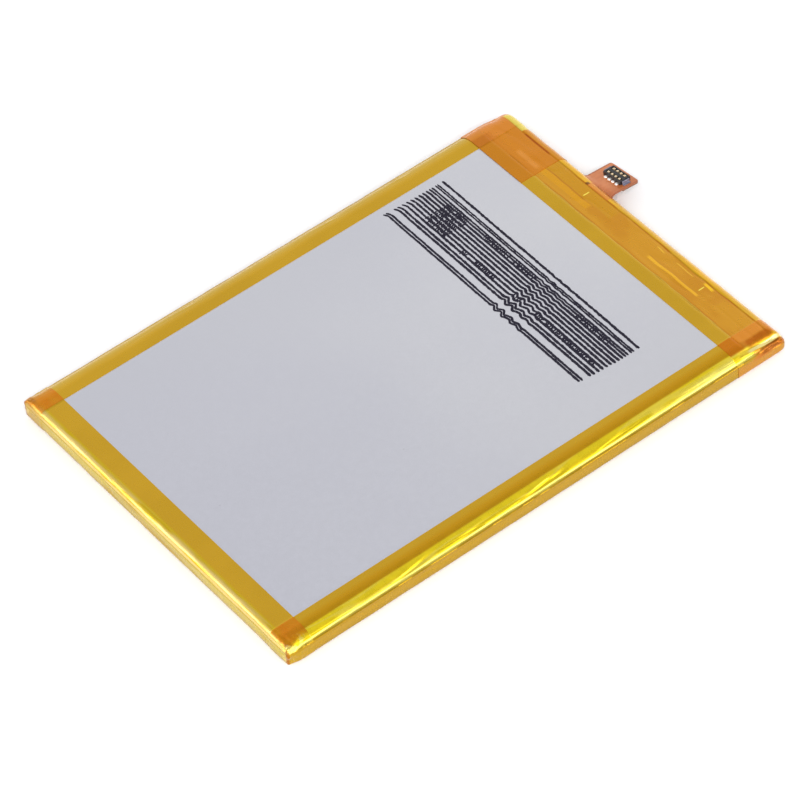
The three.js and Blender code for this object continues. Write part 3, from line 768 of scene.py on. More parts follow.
TAIL_CORNER_TONES = (
    CREASE_SHADE,
    ("glints", (255, 236, 110), ("X", 31.3, None, 0.3), ("Z", SEAM_TOP, None, 0.1), "glints", 0.9),
    ("double layer", (218, 130, 0), ("|X|", WINDOW_X, None, 0.02), ("Z", 3.34, None, 0.16), "uneven"),
    # The tone labelled worn is only a duller, darker colour along the left top edge near the tail.
    ("worn", (206, 150, 52), ("X", None, -31.6, 0.5), ("Z", 3.0, None, 0.2), 0.7),
    ("dark edge", (178, 108, 8), ("X", None, -30.8, 0.5), ("Y", None, -45.7, 0.25),
     ("Z", 3.0, None, 0.15), 0.7),
    # Painted highlight, ragged and cream, on the corner tips.
    ("ragged tip", (255, 236, 170), ("|X|", 31.6, None, 0.3), ("Y", None, -46.0, 0.3), "ragged_highlight", 0.35),
    ("corner post", (172, 96, 8), ("|X|", 32.35, None, 0.2), ("Y", None, -46.62, 0.12), 0.8),
)

# What shows of the board, and painted highlights on the raised strip and spots over it: the spans along X and
# Y, screen colour and share
BOARD_AND_HIGHLIGHT_TONES = (
    (-40.0, -3.0, 42.70, 44.9, (206, 147, 6), 0.9),
    (-40.0, -7.0, 41.45, 42.50, (222, 158, 8), 0.85),
    (-18.0, -8.6, 42.52, 42.72, (190, 122, 12), 0.9),
    # Painted highlight along the raised strip over the thermal cutoff
    (7.2, 18.6, 41.75, 42.22, (244, 184, 36), 0.9),
    (7.0, 18.8, 42.30, 42.45, (200, 138, 26), 0.7),
    # Painted highlight spots near the board's edge
    (6.8, 8.4, 44.15, 44.35, (250, 200, 60), 0.7),
    (11.2, 15.0, 44.20, 44.36, (250, 200, 60), 0.7),
    (17.4, 19.3, 44.30, 44.80, (255, 204, 20), 0.9),
    (20.3, 22.0, 42.60, 44.90, (206, 140, 20), 0.7),
)
HEAD_TONES = (
    # Painted highlights along the two pinched creases.
    ("left pinch", (255, 232, 90), ("X", -9.6, -9.4, 0.04), ("Y", 43.0, 44.15, 0.15)),
    ("right pinch", (255, 232, 90), ("X", 17.8, 18.0, 0.04), ("Y", 42.95, 44.0, 0.15)),
    ("flex below", (230, 140, 56), ("X", -11.2, -6.2, 0.15), ("Y", SLOPE_START + 0.1, None, 0.08), 0.8),
    # Painted shadow in the notch where the flex leaves.
    ("notch", (110, 60, 10), ("X", -11.5, -10.9, 0.12), ("Y", 44.95, 45.6, 0.12), 0.8),
    # Painted shade: the long walls darker than the front.
    ("walls", (200, 142, 40), *WALLS),
)
DOUBLE_LAYER = (("X", WINDOW_X, None, 0.02), ("X", None, 31.5, 0.25))
HEAD_CORNER_TONES = (
    CREASE_SHADE,
    # Painted highlights: a light blob at the end of the shoulder and a cream line along the ridge.
    ("light end", (250, 216, 70), ("X", 31.1, 32.7, 0.25), ("Y", 38.6, 42.2, 0.9), 0.65),
    ("ridge", (255, 238, 160), ("X", 32.05, 32.55, 0.08), ("Y", 40.5, 47.5, 0.5),
     ("Z", 2.2, None, 0.2), 0.85),
    # Painted shade below the ridge, darkest in the hollow under it.
    ("beside the ridge", (200, 114, 8), ("X", 32.6, None, 0.06), ("Y", 41.0, None, 0.8),
     ("Z", 1.6, None, 0.3), 0.85),
    ("hollow", (150, 80, 0), ("Y", 42.4, 46.2, 0.5), ("Z", 1.95, 2.75, 0.1), ("X", 32.6, None, 0.1), 0.85),
    ("double layer", (222, 140, 34), *DOUBLE_LAYER),
    ("over the cell", (214, 126, 0), *DOUBLE_LAYER, ("Y", None, CELL_HEAD + 0.1, 0.2)),
    ("shade", (206, 108, 0), ("X", 30.6, 31.9, 0.25), ("Y", 41.0, 45.6, 0.4), 0.8),
)
PATCH_TONES = (
    ("second layer", (212, 126, 10), 0.80),
    ("third layer", (222, 136, 38), ("X", None, -WINDOW_X, 0.02), 0.7),
    ("joint", (196, 108, 10), ("X", -30.4, -28.4, 0.3), ("Y", None, 40.8, 0.8), 0.5),
    # Painted shadow along the gap at the board's edge.
    ("gap", (176, 84, 6), ("X", -26.2, -20.2, 0.5), ("Y", 44.82, 45.14, 0.08), 0.85),
    # Painted highlight, lighter along the rolled rim.
    ("rim_highlight", (218, 148, 34), ("Y", 45.35, None, 0.12), ("X", -27.0, None, 0.2), 0.7),
    # Painted highlight on a bulge of the tape near the corner.
    ("facet", (240, 222, 96), ("X", -31.8, -27.0, 0.15), ("Y", 45.0, None, 0.12), 0.9),
    ("streak", (236, 158, 70), ("X", -24.0, -19.0, 0.5), ("Y", 41.3, 42.1, 0.25), 0.5),
)


def paint(finish, tones, *reach):
    for label, colour, *limits in tones:
        finish.tint(label, colour, *limits, *reach)


def side_under(finish):
    paint(finish, SIDE_DARK_REFLECTION)
    paint(finish, SHOULDER_HIGHLIGHTS)
    paint(finish, SIDE_TONES)


def tail_under(finish):
    paint(finish, TAIL_TONES)
    paint(finish, SHOULDER_HIGHLIGHTS, ("Y", -45.6, None, 0.8))
    paint(finish, TAIL_CORNER_TONES)


def over_board(finish):
    """The board shows through the head tape as tones of orange between two dark lines of painted shade, at
    the cell's step and at the board's edge, with painted highlights beside the step and on the rolled rim.
    """
    straight = finish.axes
    finish.axes = finish.wobbled(0.55, 190.0)
    inside = finish.band("X", -FOIL_X + 1.2, FOIL_X - 2.8, 0.4)
    board = finish.both(("Y", CELL_HEAD + 0.1, SLOPE_START, 0.08), inside)
    broken = finish.mask("broken")
    finish.tint("board", (213, 151, 26), board)
    finish.tint("mottled", (203, 136, 10), board, "mottled", 0.7)
    for x_low, x_high, y_low, y_high, colour, share in BOARD_AND_HIGHLIGHT_TONES:
        finish.tint("board tone", colour, ("X", x_low, x_high, 0.35), ("Y", y_low, y_high, 0.07), share)
    # Painted highlight along the rolled rim of the head, in patches.
    finish.tint("rim_highlight", (242, 184, 26), ("Y", SLOPE_START + 0.2, None, 0.12), "patchy")
    # Painted shadow along the board's edge, broken up by noise.
    edge = ("Y", SLOPE_START - 0.02, SLOPE_START + 0.20, 0.05)
    finish.tint("board edge", (196, 112, 14), edge, inside, broken)
    # Painted highlight on the edge of the cell's step, then painted shade in the step just past it.
    light = ("Y", CELL_HEAD - 0.03, CELL_HEAD + 0.08, 0.05)
    finish.tint("light line", (232, 190, 90), light, inside, 0.6)
    dark = ("Y", CELL_HEAD + 0.12, CELL_HEAD + 0.26, 0.05)
    finish.tint("dark line", (200, 124, 26), dark, inside, broken)
    finish.shade({"Metallic": finish.span(board, 0.0, 1.0, 0.85, 0.6)})
    finish.axes = straight


def head_under(finish):
    over_board(finish)
    paint(finish, HEAD_TONES)
    paint(finish, SHOULDER_HIGHLIGHTS, ("Y", None, 43.5, 1.5))
    paint(finish, HEAD_CORNER_TONES)


def patch_under(finish):
    over_board(finish)
    paint(finish, PATCH_TONES)


def make_tape(name, cage, layer, node, under_colour, covered, opening=None):
    """layer counts the tapes below this one where it lies over the long side tapes. covered gives
    the share of each point that is pressed down under the next tape, opening where there is none."""
    points, quads = cage.merged()
    surface = wrapped(points, quads)
    over_side_tape = smooth(np.abs(surface[:, 0]), WINDOW_X - 0.18, WINDOW_X + 0.05)
    lift = GAP + LAYER * (max(layer - 1, 0) + min(layer, 1) * over_side_tape)
    lift = lift - PRESSED[layer] * covered(surface)
    if opening is not None:
        quads = quads[~opening(surface[quads].mean(axis=1))]
        used, index = np.unique(quads, return_inverse=True)
        surface, lift = surface[used], lift[used]
        quads = index.reshape(quads.shape)
    corners, faces = closed_sheet(surface, quads, lift, TAPE)
    piece = make_object(name, inside_cad_box(corners), faces, tape_finish(name + "_film", under_colour))
    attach(piece, "pack")
    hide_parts(node)


# How far inside the edge of a covering tape the pressing down starts, and where it is full
LAP_START = 0.25
LAP_FULL = 0.5


def under_ends(surface):
    """1 where the end tapes cover the long side tapes."""
    y = surface[:, 1]
    under_tail = 1 - smooth(y, WINDOW_TAIL - LAP_FULL, WINDOW_TAIL - LAP_START)
    return under_tail + smooth(y, WINDOW_HEAD + LAP_START, WINDOW_HEAD + LAP_FULL)


def under_patch(surface):
    return 1 - smooth(surface[:, 0], PATCH_X - LAP_FULL, PATCH_X - LAP_START)


def uncovered(surface):
    return np.zeros(len(surface))


def make_side_tape(sign, node):
    outer = sign * FOIL_X
    bend = sign * (FOIL_X - SHOULDER_WIDE)
    tail, tail_fine, head_fine, head = side_low[1], side_low[1] + 6, side_high[1] - 8, side_high[1]
    across = stations((sign * WINDOW_X, bend, 0.36), (bend, outer, 0.13))
    along = stations((tail, tail_fine, 0.22), (tail_fine, head_fine, 0.40), (head_fine, head, 0.22))
    up = stations((FOIL_BACK, 0.6, 0.14), (0.6, 2.1, 0.25), (2.1, FOIL_FRONT, 0.07))
    cage = Cage()
    cage.patch(2, FOIL_FRONT, across, along, 1)
    cage.side_walls((sign,), along, up)
    cage.patch(2, FOIL_BACK, across, along, -1)
    make_tape(node + "_skin", cage, 0, node, side_under, under_ends)


def end_cage(right, edge_y, end_y, ring, sides):
    """A cap over one end of the pack as far as right: front, end wall, back and these side walls."""
    left = -FOIL_X
    across = stations((left, left + 5, 0.14), (left + 5, min(right, FOIL_X - 5), 0.42),
                      (min(right, FOIL_X - 5), right, 0.14))
    turn_y = end_y - math.copysign(ring, end_y)
    along = stations((edge_y, turn_y, 0.2), (turn_y, end_y, 0.11))
    up = stations((FOIL_BACK, 0.6, 0.14), (0.6, 2.1, 0.21), (2.1, FOIL_FRONT, 0.09))
    cage = Cage()
    cage.patch(2, FOIL_FRONT, across, along, 1)
    cage.patch(2, FOIL_BACK, across, along, -1)
    cage.patch(1, end_y, up, across, 1 if end_y > 0 else -1)
    cage.side_walls(sides, along, up)
    return cage


# Where the slot for the flex starts, and its margin across and up
FLEX_SLOT_START = 46.0
FLEX_SLOT_MARGIN = np.array((0.2, 0.28))


def flex_slot(middle):
    """Where the head tape is open for the flex, at these middles of its faces."""
    across_and_up = middle[:, ::2]
    over_low = across_and_up > root_low[::2] - FLEX_SLOT_MARGIN
    under_high = across_and_up < root_high[::2] + FLEX_SLOT_MARGIN
    return (over_low & under_high).all(axis=1) & (middle[:, 1] > FLEX_SLOT_START)


def make_tapes():
    make_side_tape(1, "side_tape_right")
    make_side_tape(-1, "side_tape_left")
    tail = end_cage(FOIL_X, WINDOW_TAIL, FOIL_TAIL, TAIL_ROUND, (-1, 1))
    make_tape("tail_tape_skin", tail, 1, "tail_tape", tail_under, uncovered)
    head = end_cage(FOIL_X, WINDOW_HEAD, FOIL_HEAD, HEAD_ROUND_Y, (-1, 1))
    make_tape("head_tape_skin", head, 1, "head_tape", head_under, under_patch, flex_slot)
    patch = end_cage(PATCH_X, WINDOW_HEAD, FOIL_HEAD, HEAD_ROUND_Y, (-1,))
    make_tape("head_corner_tape_skin", patch, 2, "head_corner_tape", patch_under, uncovered)


# Pouch: formed front with its walls, and the back film with the folded seams

def foil_finish(name):
    finish = Finish(name, (0.80, 0.805, 0.83), roughness=0.42, metallic=1.0)
    finish.vary_colour((0.75, 0.755, 0.80), scale=28.0, low=0.3, high=0.7, detail=2.0)
    finish.vary_colour((0.82, 0.82, 0.835), scale=900.0, low=0.45, high=0.75, amount=0.25)
    # Painted shade: the foil darker toward the tail, at the head's right and at the tail's left.
    finish.blend(finish.both(("Y", None, -5.0, 55.0), 0.95), (0.68, 0.685, 0.75), "toward the tail")
    right = finish.both(("X", 17.5, None, 12.5), ("Y", 10.0, None, 25.0), 0.8)
    finish.blend(right, (0.735, 0.738, 0.775), "head right")
    left = finish.both(("X", None, -20.0, 8.0), ("Y", None, 20.0, 15.0), 0.4)
    finish.blend(left, (0.70, 0.705, 0.75), "tail left")
    cells = {"Scale": 300.0, "Vector": finish.stretched((1.0, 0.6, 1.0))}
    specks = finish.span(finish.node("TexVoronoi", cells, "Distance"), 0.0, 0.05, 1.0, 0.0)
    finish.blend(finish.both(specks, "foil_marks", 0.35), (0.42, 0.42, 0.45), "marks")
    finish.vary_roughness(0.38, 0.47, scale=1200.0)
    finish.bump(finish.noise(5200.0, 2.0), 0.0016)
    finish.bump(finish.noise(170.0, 3.0), 0.010)
    return finish.material


def window_share(points, start, end):
    """1 inside the window, falling to 0 between these distances outside its edge."""
    share = 1 - smooth(np.abs(points[:, 0]), WINDOW_X + start, WINDOW_X + end)
    share *= smooth(points[:, 1], WINDOW_TAIL - end, WINDOW_TAIL - start)
    return share * (1 - smooth(points[:, 1], WINDOW_HEAD + start, WINDOW_HEAD + end))


def front_swell(points):
    heights = random_heights(points * (0.07, 0.05, 0.1), 51) + 0.5 * random_heights(points * 0.16, 52)
    return smooth(points[:, 2], 3.4, 3.5), 0.008 * (heights - 1.5)


def back_swell(points):
    return 1 - smooth(points[:, 2], 0.1, 0.2), 0.006 * (random_heights(points * (0.06, 0.05, 0.1), 53) - 1)


# From the window's edge, outward: where its panel ends, and where the foil goes under the tapes
PANEL_ENDS = (-0.45, -0.25)
WINDOW_ENDS = (0.15, 0.5)


def make_foil_skin(name, node, foil, cage, head, head_round, swell):
    """swell gives where the foil faces out, and how the panel in the window swells."""
    points, quads = cage.merged()
    surface = with_seam(rounded(points, head, head_round))
    facing, height = swell(surface)
    panel = facing * window_share(surface, *PANEL_ENDS)
    shown = facing * window_share(surface, *WINDOW_ENDS)
    relief = (shown - 1) * UNDER_TAPE + panel * (PANEL_RISE + height)
    surface = drawn_in(surface + vertex_normals(surface, quads) * relief[:, None])
    corners, faces = closed_sheet(surface, quads, -LAMINATE, LAMINATE)
    piece = make_object(name, corners, faces, foil)
    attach(piece, "pack")
    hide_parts(node)


def make_pouch():
    foil = foil_finish("laminate_foil_satin")
    turn_x, turn_tail, turn_head = WINDOW_X - 0.9, WINDOW_TAIL + 0.9, WINDOW_HEAD - 0.9
    across = stations((-FOIL_X, -turn_x, 0.12), (-turn_x, turn_x, 0.8), (turn_x, FOIL_X, 0.12))
    along = stations((FOIL_TAIL, turn_tail, 0.12), (turn_tail, turn_head, 0.8), (turn_head, CELL_HEAD, 0.12))
    up = stations((0.7, FOIL_FRONT, 0.16))
    cage = Cage()
    cage.patch(2, FOIL_FRONT, across, along, 1)
    cage.side_walls((1, -1), along, up)
    cage.patch(1, FOIL_TAIL, up, across, -1)
    cage.patch(1, CELL_HEAD, up, across, 1)
    make_foil_skin("pouch_front_skin", "pouch_cup", foil, cage, CELL_HEAD, (SHOULDER, SHOULDER), front_swell)

    along = stations((FOIL_TAIL, turn_tail, 0.16), (turn_tail, turn_head, 0.8),
                     (turn_head, WINDOW_HEAD, 0.16), (WINDOW_HEAD, cup_high[1], 0.4))
    up = stations((FOIL_BACK, 0.7, 0.13), (0.7, 2.35, 0.3))
    cage = Cage()
    cage.patch(2, FOIL_BACK, across, along, -1)
    cage.side_walls((1, -1), along, up)
    head_round = (HEAD_ROUND_Y, HEAD_ROUND_Z)
    make_foil_skin("pouch_back_skin", "pouch_cover", foil, cage, FOIL_HEAD, head_round, back_swell)


# Ink print: plain wavy rules, a patch of short strokes and rows of dashes

INK_LEVEL = FOIL_FRONT + PANEL_RISE - 0.02
INK_HEIGHT = 0.03
INK_WIDTH = 0.43
INK_LEFT = -26.65
INK_RIGHT = 21.1
INK_SLANT = -0.0063
INK_STEP = 0.11
INK_ROWS = (
    28.58, 27.57, 27.19, 26.5, 26.03, 25.43, 24.74, 24.05, 23.33, 22.6, 21.85, 21.07, 20.23, 19.58,
    18.09, 17.58,
)
HOOK = 1.1
# Place along the rules and height of each wave
STUTTER = (
    (-0.45, 0.27), (0.37, -0.27), (1.3, 0.28), (2.06, -0.30), (3.28, 0.17), (4.1, -0.16), (5.04, 0.14),
    (6.0, -0.12),
)
CODE_PATCH = {"x": -22.15, "y": 26.7, "columns": 13, "rows": 14, "pitch": 0.41}
# The level of each row of dashes and where its runs start and end
DASH_ROWS = (
    (26.05, ((-12.9, -0.4), (9.7, 17.4))),
    (21.5, ((-12.7, -11.2), (-9.5, -4.7), (-0.2, 1.9), (5.2, 19.0))),
)


def bar_faces(base, rings):
    """Faces of a closed bar from this many rings of four points, the first of them at base."""
    faces = []
    for ring in range(rings - 1):
        for k in range(4):
            a, b = base + 4 * ring + k, base + 4 * ring + (k + 1) % 4
            faces.append((a, b, b + 4, a + 4))
    last = base + 4 * (rings - 1)
    faces.append((base + 3, base + 2, base + 1, base))
    faces.append((last, last + 1, last + 2, last + 3))
    return faces


class InkMesh:
    def __init__(self):
        self.points = []
        self.faces = []

    def ribbon(self, path, widths, raised=0.0):
        """A thin closed bar along an N x 2 path, its top raised above the rules' by this much."""
        base = len(self.points)
        along = np.gradient(path, axis=0)
        along /= np.linalg.norm(along, axis=1)[:, None]
        across = np.stack([-along[:, 1], along[:, 0]], 1) * widths[:, None] / 2
        low, high = INK_LEVEL, INK_LEVEL + INK_HEIGHT + raised
        for middle, reach in zip(path, across):
            left, right = middle + reach, middle - reach
            self.points.extend([(*right, low), (*left, low), (*left, high), (*right, high)])
        self.faces.extend(bar_faces(base, len(path)))

    def stroke(self, x, y, dx, dy, width, raised):
        path = np.array([(x, y), (x + dx / 2, y + dy / 2), (x + dx, y + dy)])
        path[:, 1] += INK_SLANT * path[:, 0]
        self.ribbon(path, np.array([width * 0.8, width, width * 0.8]), raised)


def ink_rule(ink, row, y):
    top, bottom = INK_ROWS[0], INK_ROWS[-1]
    depth = (top - y) / (top - bottom)
    left = INK_LEFT - 0.40 * depth ** 2
    x = np.arange(left, INK_RIGHT - 0.65 * depth ** 2.5, INK_STEP)
    lane, fine_lane = 7.7 * row, 3.1 * row
    path_y = y + 0.06 + INK_SLANT * x
    path_y += 0.03 * wander(x, 0.22, 61, 0.25 * y) + 0.02 * wander(x, 1.1, 62, lane)
    path_y += 0.03 * wander(x, 4.5, 65, fine_lane)
    stutter_size = min(1.0, 0.2 + 1.1 * depth)
    for place, height in STUTTER:
        path_y += stutter_size * height * bell(x, place + 0.9 * (1 - depth), 0.38)
    hook = np.clip((left + HOOK - x) / HOOK, 0, 1)
    path_y -= (0.05 + 0.42 * smooth(depth, 0.1, 0.8)) * hook ** 1.6
    gap = min(abs(y - other) for other in INK_ROWS if other != y)
    width = min(INK_WIDTH, 0.09 + 0.56 * gap) + 0.0012 * x
    widths = width * (1 + 0.15 * wander(x, 1.87, 63, 1.7 * lane) + 0.15 * wander(x, 4.5, 64, fine_lane))
    from_end = np.minimum(np.arange(len(x)), np.arange(len(x))[::-1])
    widths *= 0.55 + 0.45 * np.clip(from_end / 3, 0, 1)
    ink.ribbon(np.stack([x, path_y], 1), widths)


def ink_code_patch(ink, rng):
    pitch = CODE_PATCH["pitch"]
    for i, j in itertools.product(range(CODE_PATCH["columns"]), range(CODE_PATCH["rows"])):
        if rng.random() < 0.14:
            continue
        x = CODE_PATCH["x"] + pitch * i + rng.uniform(-0.05, 0.05)
        y = CODE_PATCH["y"] - pitch * j + rng.uniform(-0.05, 0.05)
        dx = pitch * rng.uniform(0.5, 1.0)
        dy = -pitch * rng.uniform(0.3, 0.9)
        ink.stroke(x, y, dx, dy, rng.uniform(0.22, 0.34), rng.uniform(0.002, 0.012))


def ink_dashes(ink, rng):
    for y, runs in DASH_ROWS:
        for start, end in runs:
            x = start
            while x < end:
                if rng.random() < 0.92:
                    lean = rng.uniform(-0.15, 0.25)
                    top = y + rng.uniform(0.3, 0.6)
                    ink.stroke(x, top, lean, -rng.uniform(0.7, 1.1), rng.uniform(0.2, 0.32), 0.004)
                    middle = y + rng.uniform(-0.4, 0.4)
                    ink.stroke(x, middle, rng.uniform(0.25, 0.45), 0.0, rng.uniform(0.2, 0.3), 0.008)
                x += rng.uniform(0.34, 0.6)


def make_ink():
    ink = InkMesh()
    rng = np.random.default_rng(17)
    for row, y in enumerate(INK_ROWS):
        ink_rule(ink, row, y)
    ink_code_patch(ink, rng)
    ink_dashes(ink, rng)
    finish = Finish("black_ink", (0.014, 0.012, 0.023), roughness=0.5)
    finish.vary_colour((0.030, 0.027, 0.043), scale=2200.0, low=0.5, high=0.8)
    finish.shade({"Specular IOR Level": 0.15})
    finish.vary_roughness(0.4, 0.65, scale=3000.0)
    finish.bump(finish.noise(6000.0, 2.0), 0.002)
    piece = make_object("ink_print", ink.points, ink.faces, finish.material)
    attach(piece, "pack")


# Flex circuit, connector and what is on it

PIVOT = np.array((-10.4, 47.35, 2.44))
TAIL_PITCH = math.radians(-4)
TAIL_ROLL = math.radians(-7)
FLEX_HALF = 3.4
FLEX_THICK = 0.12
TAIL_LENGTH = 4.75
TAIL_CORNER = 0.45
# The foot of the connector in the tail's frame, and its two rows of contacts
CONNECTOR = (0.3, 2.85, 0.08)
CONTACT_PITCH = 0.87
CONTACTS_IN_ROW = 4
SOLDER_FROM_MIDDLE = 1.19
SOLDER_REACH = np.array((0.30, 0.31, 0.22))
SOLDER_SINK = 0.015
SOLDER_WOBBLE = 0.10
SPRING_FROM_MIDDLE = 0.55
SPRING_HALF = (0.19, 0.2)
SPRING_EDGE = 0.07
SPRING_FOOT = 0.36
SPRING_TOP = 0.75
# How far each ring of a spring top stands in from its sides, and its level
SPRING_RINGS = (
    (0.0, SPRING_FOOT), (0.0, SPRING_TOP - SPRING_EDGE),
    (SPRING_EDGE * 0.3, SPRING_TOP - SPRING_EDGE * 0.3), (SPRING_EDGE, SPRING_TOP),
)


def tail_matrix():
    """From the tail's own frame (millimetres, origin on the bend line) to the pack's."""
    pitch = Matrix.Rotation(TAIL_PITCH, 4, "X")
    roll = Matrix.Rotation(TAIL_ROLL, 4, "Y")
    return Matrix.Translation(PIVOT) @ pitch @ roll


def to_pack(points):
    turned = np.array(tail_matrix())
    return np.asarray(points) @ turned[:3, :3].T + turned[:3, 3]


def flex_finish():
    finish = Finish("flex_polyimide", linear(212, 130, 76), roughness=0.36, metallic=0.25)
    laid = {"attribute_name": "sheet", "attribute_type": "GEOMETRY"}
    finish.coords = finish.node("Attribute", {}, "Vector", **laid)
    finish.axes = finish.split(finish.coords)
    finish.vary_colour(linear(202, 118, 68), scale=500.0, low=0.35, high=0.7)
    traces = finish.both(finish.stripes("X", CONTACT_PITCH, 0.30, 0.36, 0.72, 0.78), ("|X|", None, 2.6, 0.05))
    finish.tint("traces", (232, 152, 96), traces, 0.12)
    # Painted shade: the flex darker toward its right side.
    finish.tint("right side", (184, 104, 56), ("X", 1.7, None, 1.3), 0.75)
    finish.tint("edges", (150, 78, 44), ("|X|", 3.15, None, 0.08), 0.6)
    finish.bump(traces, 0.005)
    finish.bump(finish.noise(2500.0, 3.0), 0.003)
    finish.vary_roughness(0.30, 0.45, scale=1500.0)
    finish.coat(0.4, 0.15)
    return finish.material


def make_flex():
    root_length = PIVOT[1] - root_low[1]
    across = stations((-1, -0.9, 0.03), (-0.9, 0.9, 0.06), (0.9, 1, 0.03))
    corner = TAIL_LENGTH - 0.5
    along = stations((-root_length, -0.9, 0.22), (-0.9, 1.5, 0.08), (1.5, corner, 0.16),
                     (corner, TAIL_LENGTH, 0.045))
    past = np.clip(along - (TAIL_LENGTH - TAIL_CORNER), 0, TAIL_CORNER - 0.004)
    half = FLEX_HALF - TAIL_CORNER + np.sqrt(TAIL_CORNER ** 2 - past ** 2)
    u = across[:, None] * half[None, :]
    v = np.broadcast_to(along[None, :], u.shape)
    sheet = np.stack([u, v, np.zeros_like(u)], -1).reshape(-1, 3)
    index = np.arange(len(sheet)).reshape(u.shape)
    corners = [index[:-1, :-1], index[1:, :-1], index[1:, 1:], index[:-1, 1:]]
    quads = np.stack(corners, -1).reshape(-1, 4)
    ripple = 0.012 * random_heights(sheet * (0.5, 0.6, 1.0), 71)
    turned = to_pack(sheet)
    straight = sheet + PIVOT
    share = smooth(sheet[:, 1], -0.95, 0.1)[:, None]
    middle = straight * (1 - share) + turned * share
    middle[:, 2] += ripple * smooth(sheet[:, 1], -0.3, 0.4) * (1 - smooth(sheet[:, 1], 0.9, 1.4))
    points, faces = closed_sheet(middle, quads, -FLEX_THICK / 2, FLEX_THICK)
    piece = make_object("flex_circuit", points, faces, flex_finish())
    laid = piece.data.attributes.new("sheet", "FLOAT_VECTOR", "POINT")
    laid.data.foreach_set("vector", (np.concatenate([sheet, sheet]) * MM).astype(np.float32).ravel())
    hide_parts("flex_root", "flex_tail")
    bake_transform(piece)


def solder_finish():
    finish = Finish("bright_solder", (0.96, 0.96, 0.95), roughness=0.25, metallic=0.35)
    finish.vary_colour((0.88, 0.88, 0.87), scale=4000.0)
    finish.vary_roughness(0.15, 0.35, scale=5000.0)
    finish.bump(finish.noise(7000.0, 2.0), 0.004)
    return finish.material


def contact_places(from_middle):
    """The number in its row and the place of each contact, this far from the connector's middle."""
    for side in (-1, 1):
        for i in range(CONTACTS_IN_ROW):
            across = (i - (CONTACTS_IN_ROW - 1) / 2) * CONTACT_PITCH
            yield i, np.array((across, side * from_middle, 0.0)) + CONNECTOR


def make_solder():
    """A smooth fillet over each solder tail of the connector."""
    rings, spokes = 7, 18
    points, faces = [], []
    for i, place in contact_places(SOLDER_FROM_MIDDLE):
        middle = place - (0, 0, SOLDER_SINK)
        base = len(points)
        points.append(middle + (0, 0, SOLDER_REACH[2]))
        for ring in range(1, rings + 1):
            tilt = math.pi / 2 * ring / rings
            for spoke in range(spokes):
                turn = 2 * math.pi * spoke / spokes
                flat = math.sin(tilt) * (1 + SOLDER_WOBBLE * math.sin(2 * turn + i))
                offset = np.array((flat * math.cos(turn), flat * math.sin(turn), math.cos(tilt)))
                points.append(middle + offset * SOLDER_REACH)
        points.append(middle)
        last = len(points) - 1
        for spoke in range(spokes):
            after = (spoke + 1) % spokes
            faces.append((base, base + 1 + spoke, base + 1 + after))
            for ring in range(rings - 1):
                a = base + 1 + ring * spokes
                faces.append((a + spoke, a + spokes + spoke, a + spokes + after, a + after))
            a = base + 1 + (rings - 1) * spokes
            faces.append((a + spoke, last, a + after))
    piece = make_object("solder_fillets", to_pack(points), faces, solder_finish())
    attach(piece, "flex_tail")


def make_contact_springs():
    """The rounded spring tops of the contacts, in the two troughs of the connector."""
    half_u, half_v = SPRING_HALF
    points, faces = [], []
    for _, place in contact_places(SPRING_FROM_MIDDLE):
        faces.extend(bar_faces(len(points), len(SPRING_RINGS)))
        for inset, level in SPRING_RINGS:
            for u, v in ((-1, -1), (1, -1), (1, 1), (-1, 1)):
                points.append(place + (u * (half_u - inset), v * (half_v - inset), level))
    gold = simple_finish(*PLAIN_FINISHES["gold_plate"])
    piece = make_object("contact_springs", to_pack(points), faces, gold.material)
    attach(piece, "flex_tail")


# Finishes for the CAD parts that stay

# Name, colour, second colour, roughness, metallic, cells to the metre, stretch and bump in millimetres
PLAIN_FINISHES = {
    "copper_foil": ("copper_foil_coated", (0.10, 0.095, 0.09), (0.06, 0.06, 0.06), 0.7, 0.1, 1500.0),
    "aluminium_foil": (
        "aluminium_foil_rolled", (0.72, 0.73, 0.74), (0.62, 0.63, 0.65), 0.35, 1.0, 600.0, (1, 0.05, 1)),
    "separator_film": ("separator_white", (0.82, 0.82, 0.79), (0.74, 0.75, 0.72), 0.55, 0.0, 1800.0),
    "tab_sealant": ("sealant_resin", (0.16, 0.14, 0.11), (0.10, 0.09, 0.08), 0.4, 0.0, 500.0),
    "nickel": ("nickel_rolled", (0.66, 0.63, 0.57), (0.55, 0.53, 0.48), 0.3, 1.0, 500.0, (0.08, 1, 1)),
    "nickel_dull": ("nickel_dull", (0.34, 0.34, 0.42), (0.26, 0.26, 0.33), 0.4, 0.9, 3000.0),
    "foam": ("foam_open_cell", (0.05, 0.052, 0.055), (0.02, 0.02, 0.022), 0.95, 0.0, 2600.0, ALIKE, 0.05),
    "insulating_paper": (
        "paper_fibrous", (0.40, 0.47, 0.38), (0.33, 0.40, 0.31), 0.85, 0.0, 900.0, (1, 0.2, 1), 0.01),
    "chip_moulding": ("chip_epoxy", (0.022, 0.022, 0.024), (0.035, 0.035, 0.036), 0.5, 0.0, 3500.0),
    "chip_ceramic": ("ceramic_body", (0.46, 0.36, 0.22), (0.38, 0.29, 0.17), 0.5, 0.0, 2500.0),
    "connector_moulding": (
        "connector_black", (0.012, 0.012, 0.014), (0.022, 0.020, 0.022), 0.35, 0.0, 4000.0, ALIKE, 0.002),
    "stiffener_sheet": ("stiffener_glassy", (0.20, 0.085, 0.035), (0.14, 0.06, 0.025), 0.5, 0.0, 1500.0),
    "gold_plate": ("contact_gold", (0.93, 0.74, 0.50), (0.85, 0.65, 0.40), 0.28, 0.8, 5000.0, ALIKE, 0.001),
}


def simple_finish(name, colour, second, roughness, metallic, scale, stretch=ALIKE, depth=0.004):
    finish = Finish(name, colour, roughness, metallic)
    finish.vary_colour(second, scale=scale, stretch=stretch)
    finish.vary_roughness(roughness * 0.8, min(1.0, roughness * 1.25), scale=scale * 1.7, stretch=stretch)
    finish.bump(finish.noise(scale * 3, 3.0, stretch), depth)
    return finish


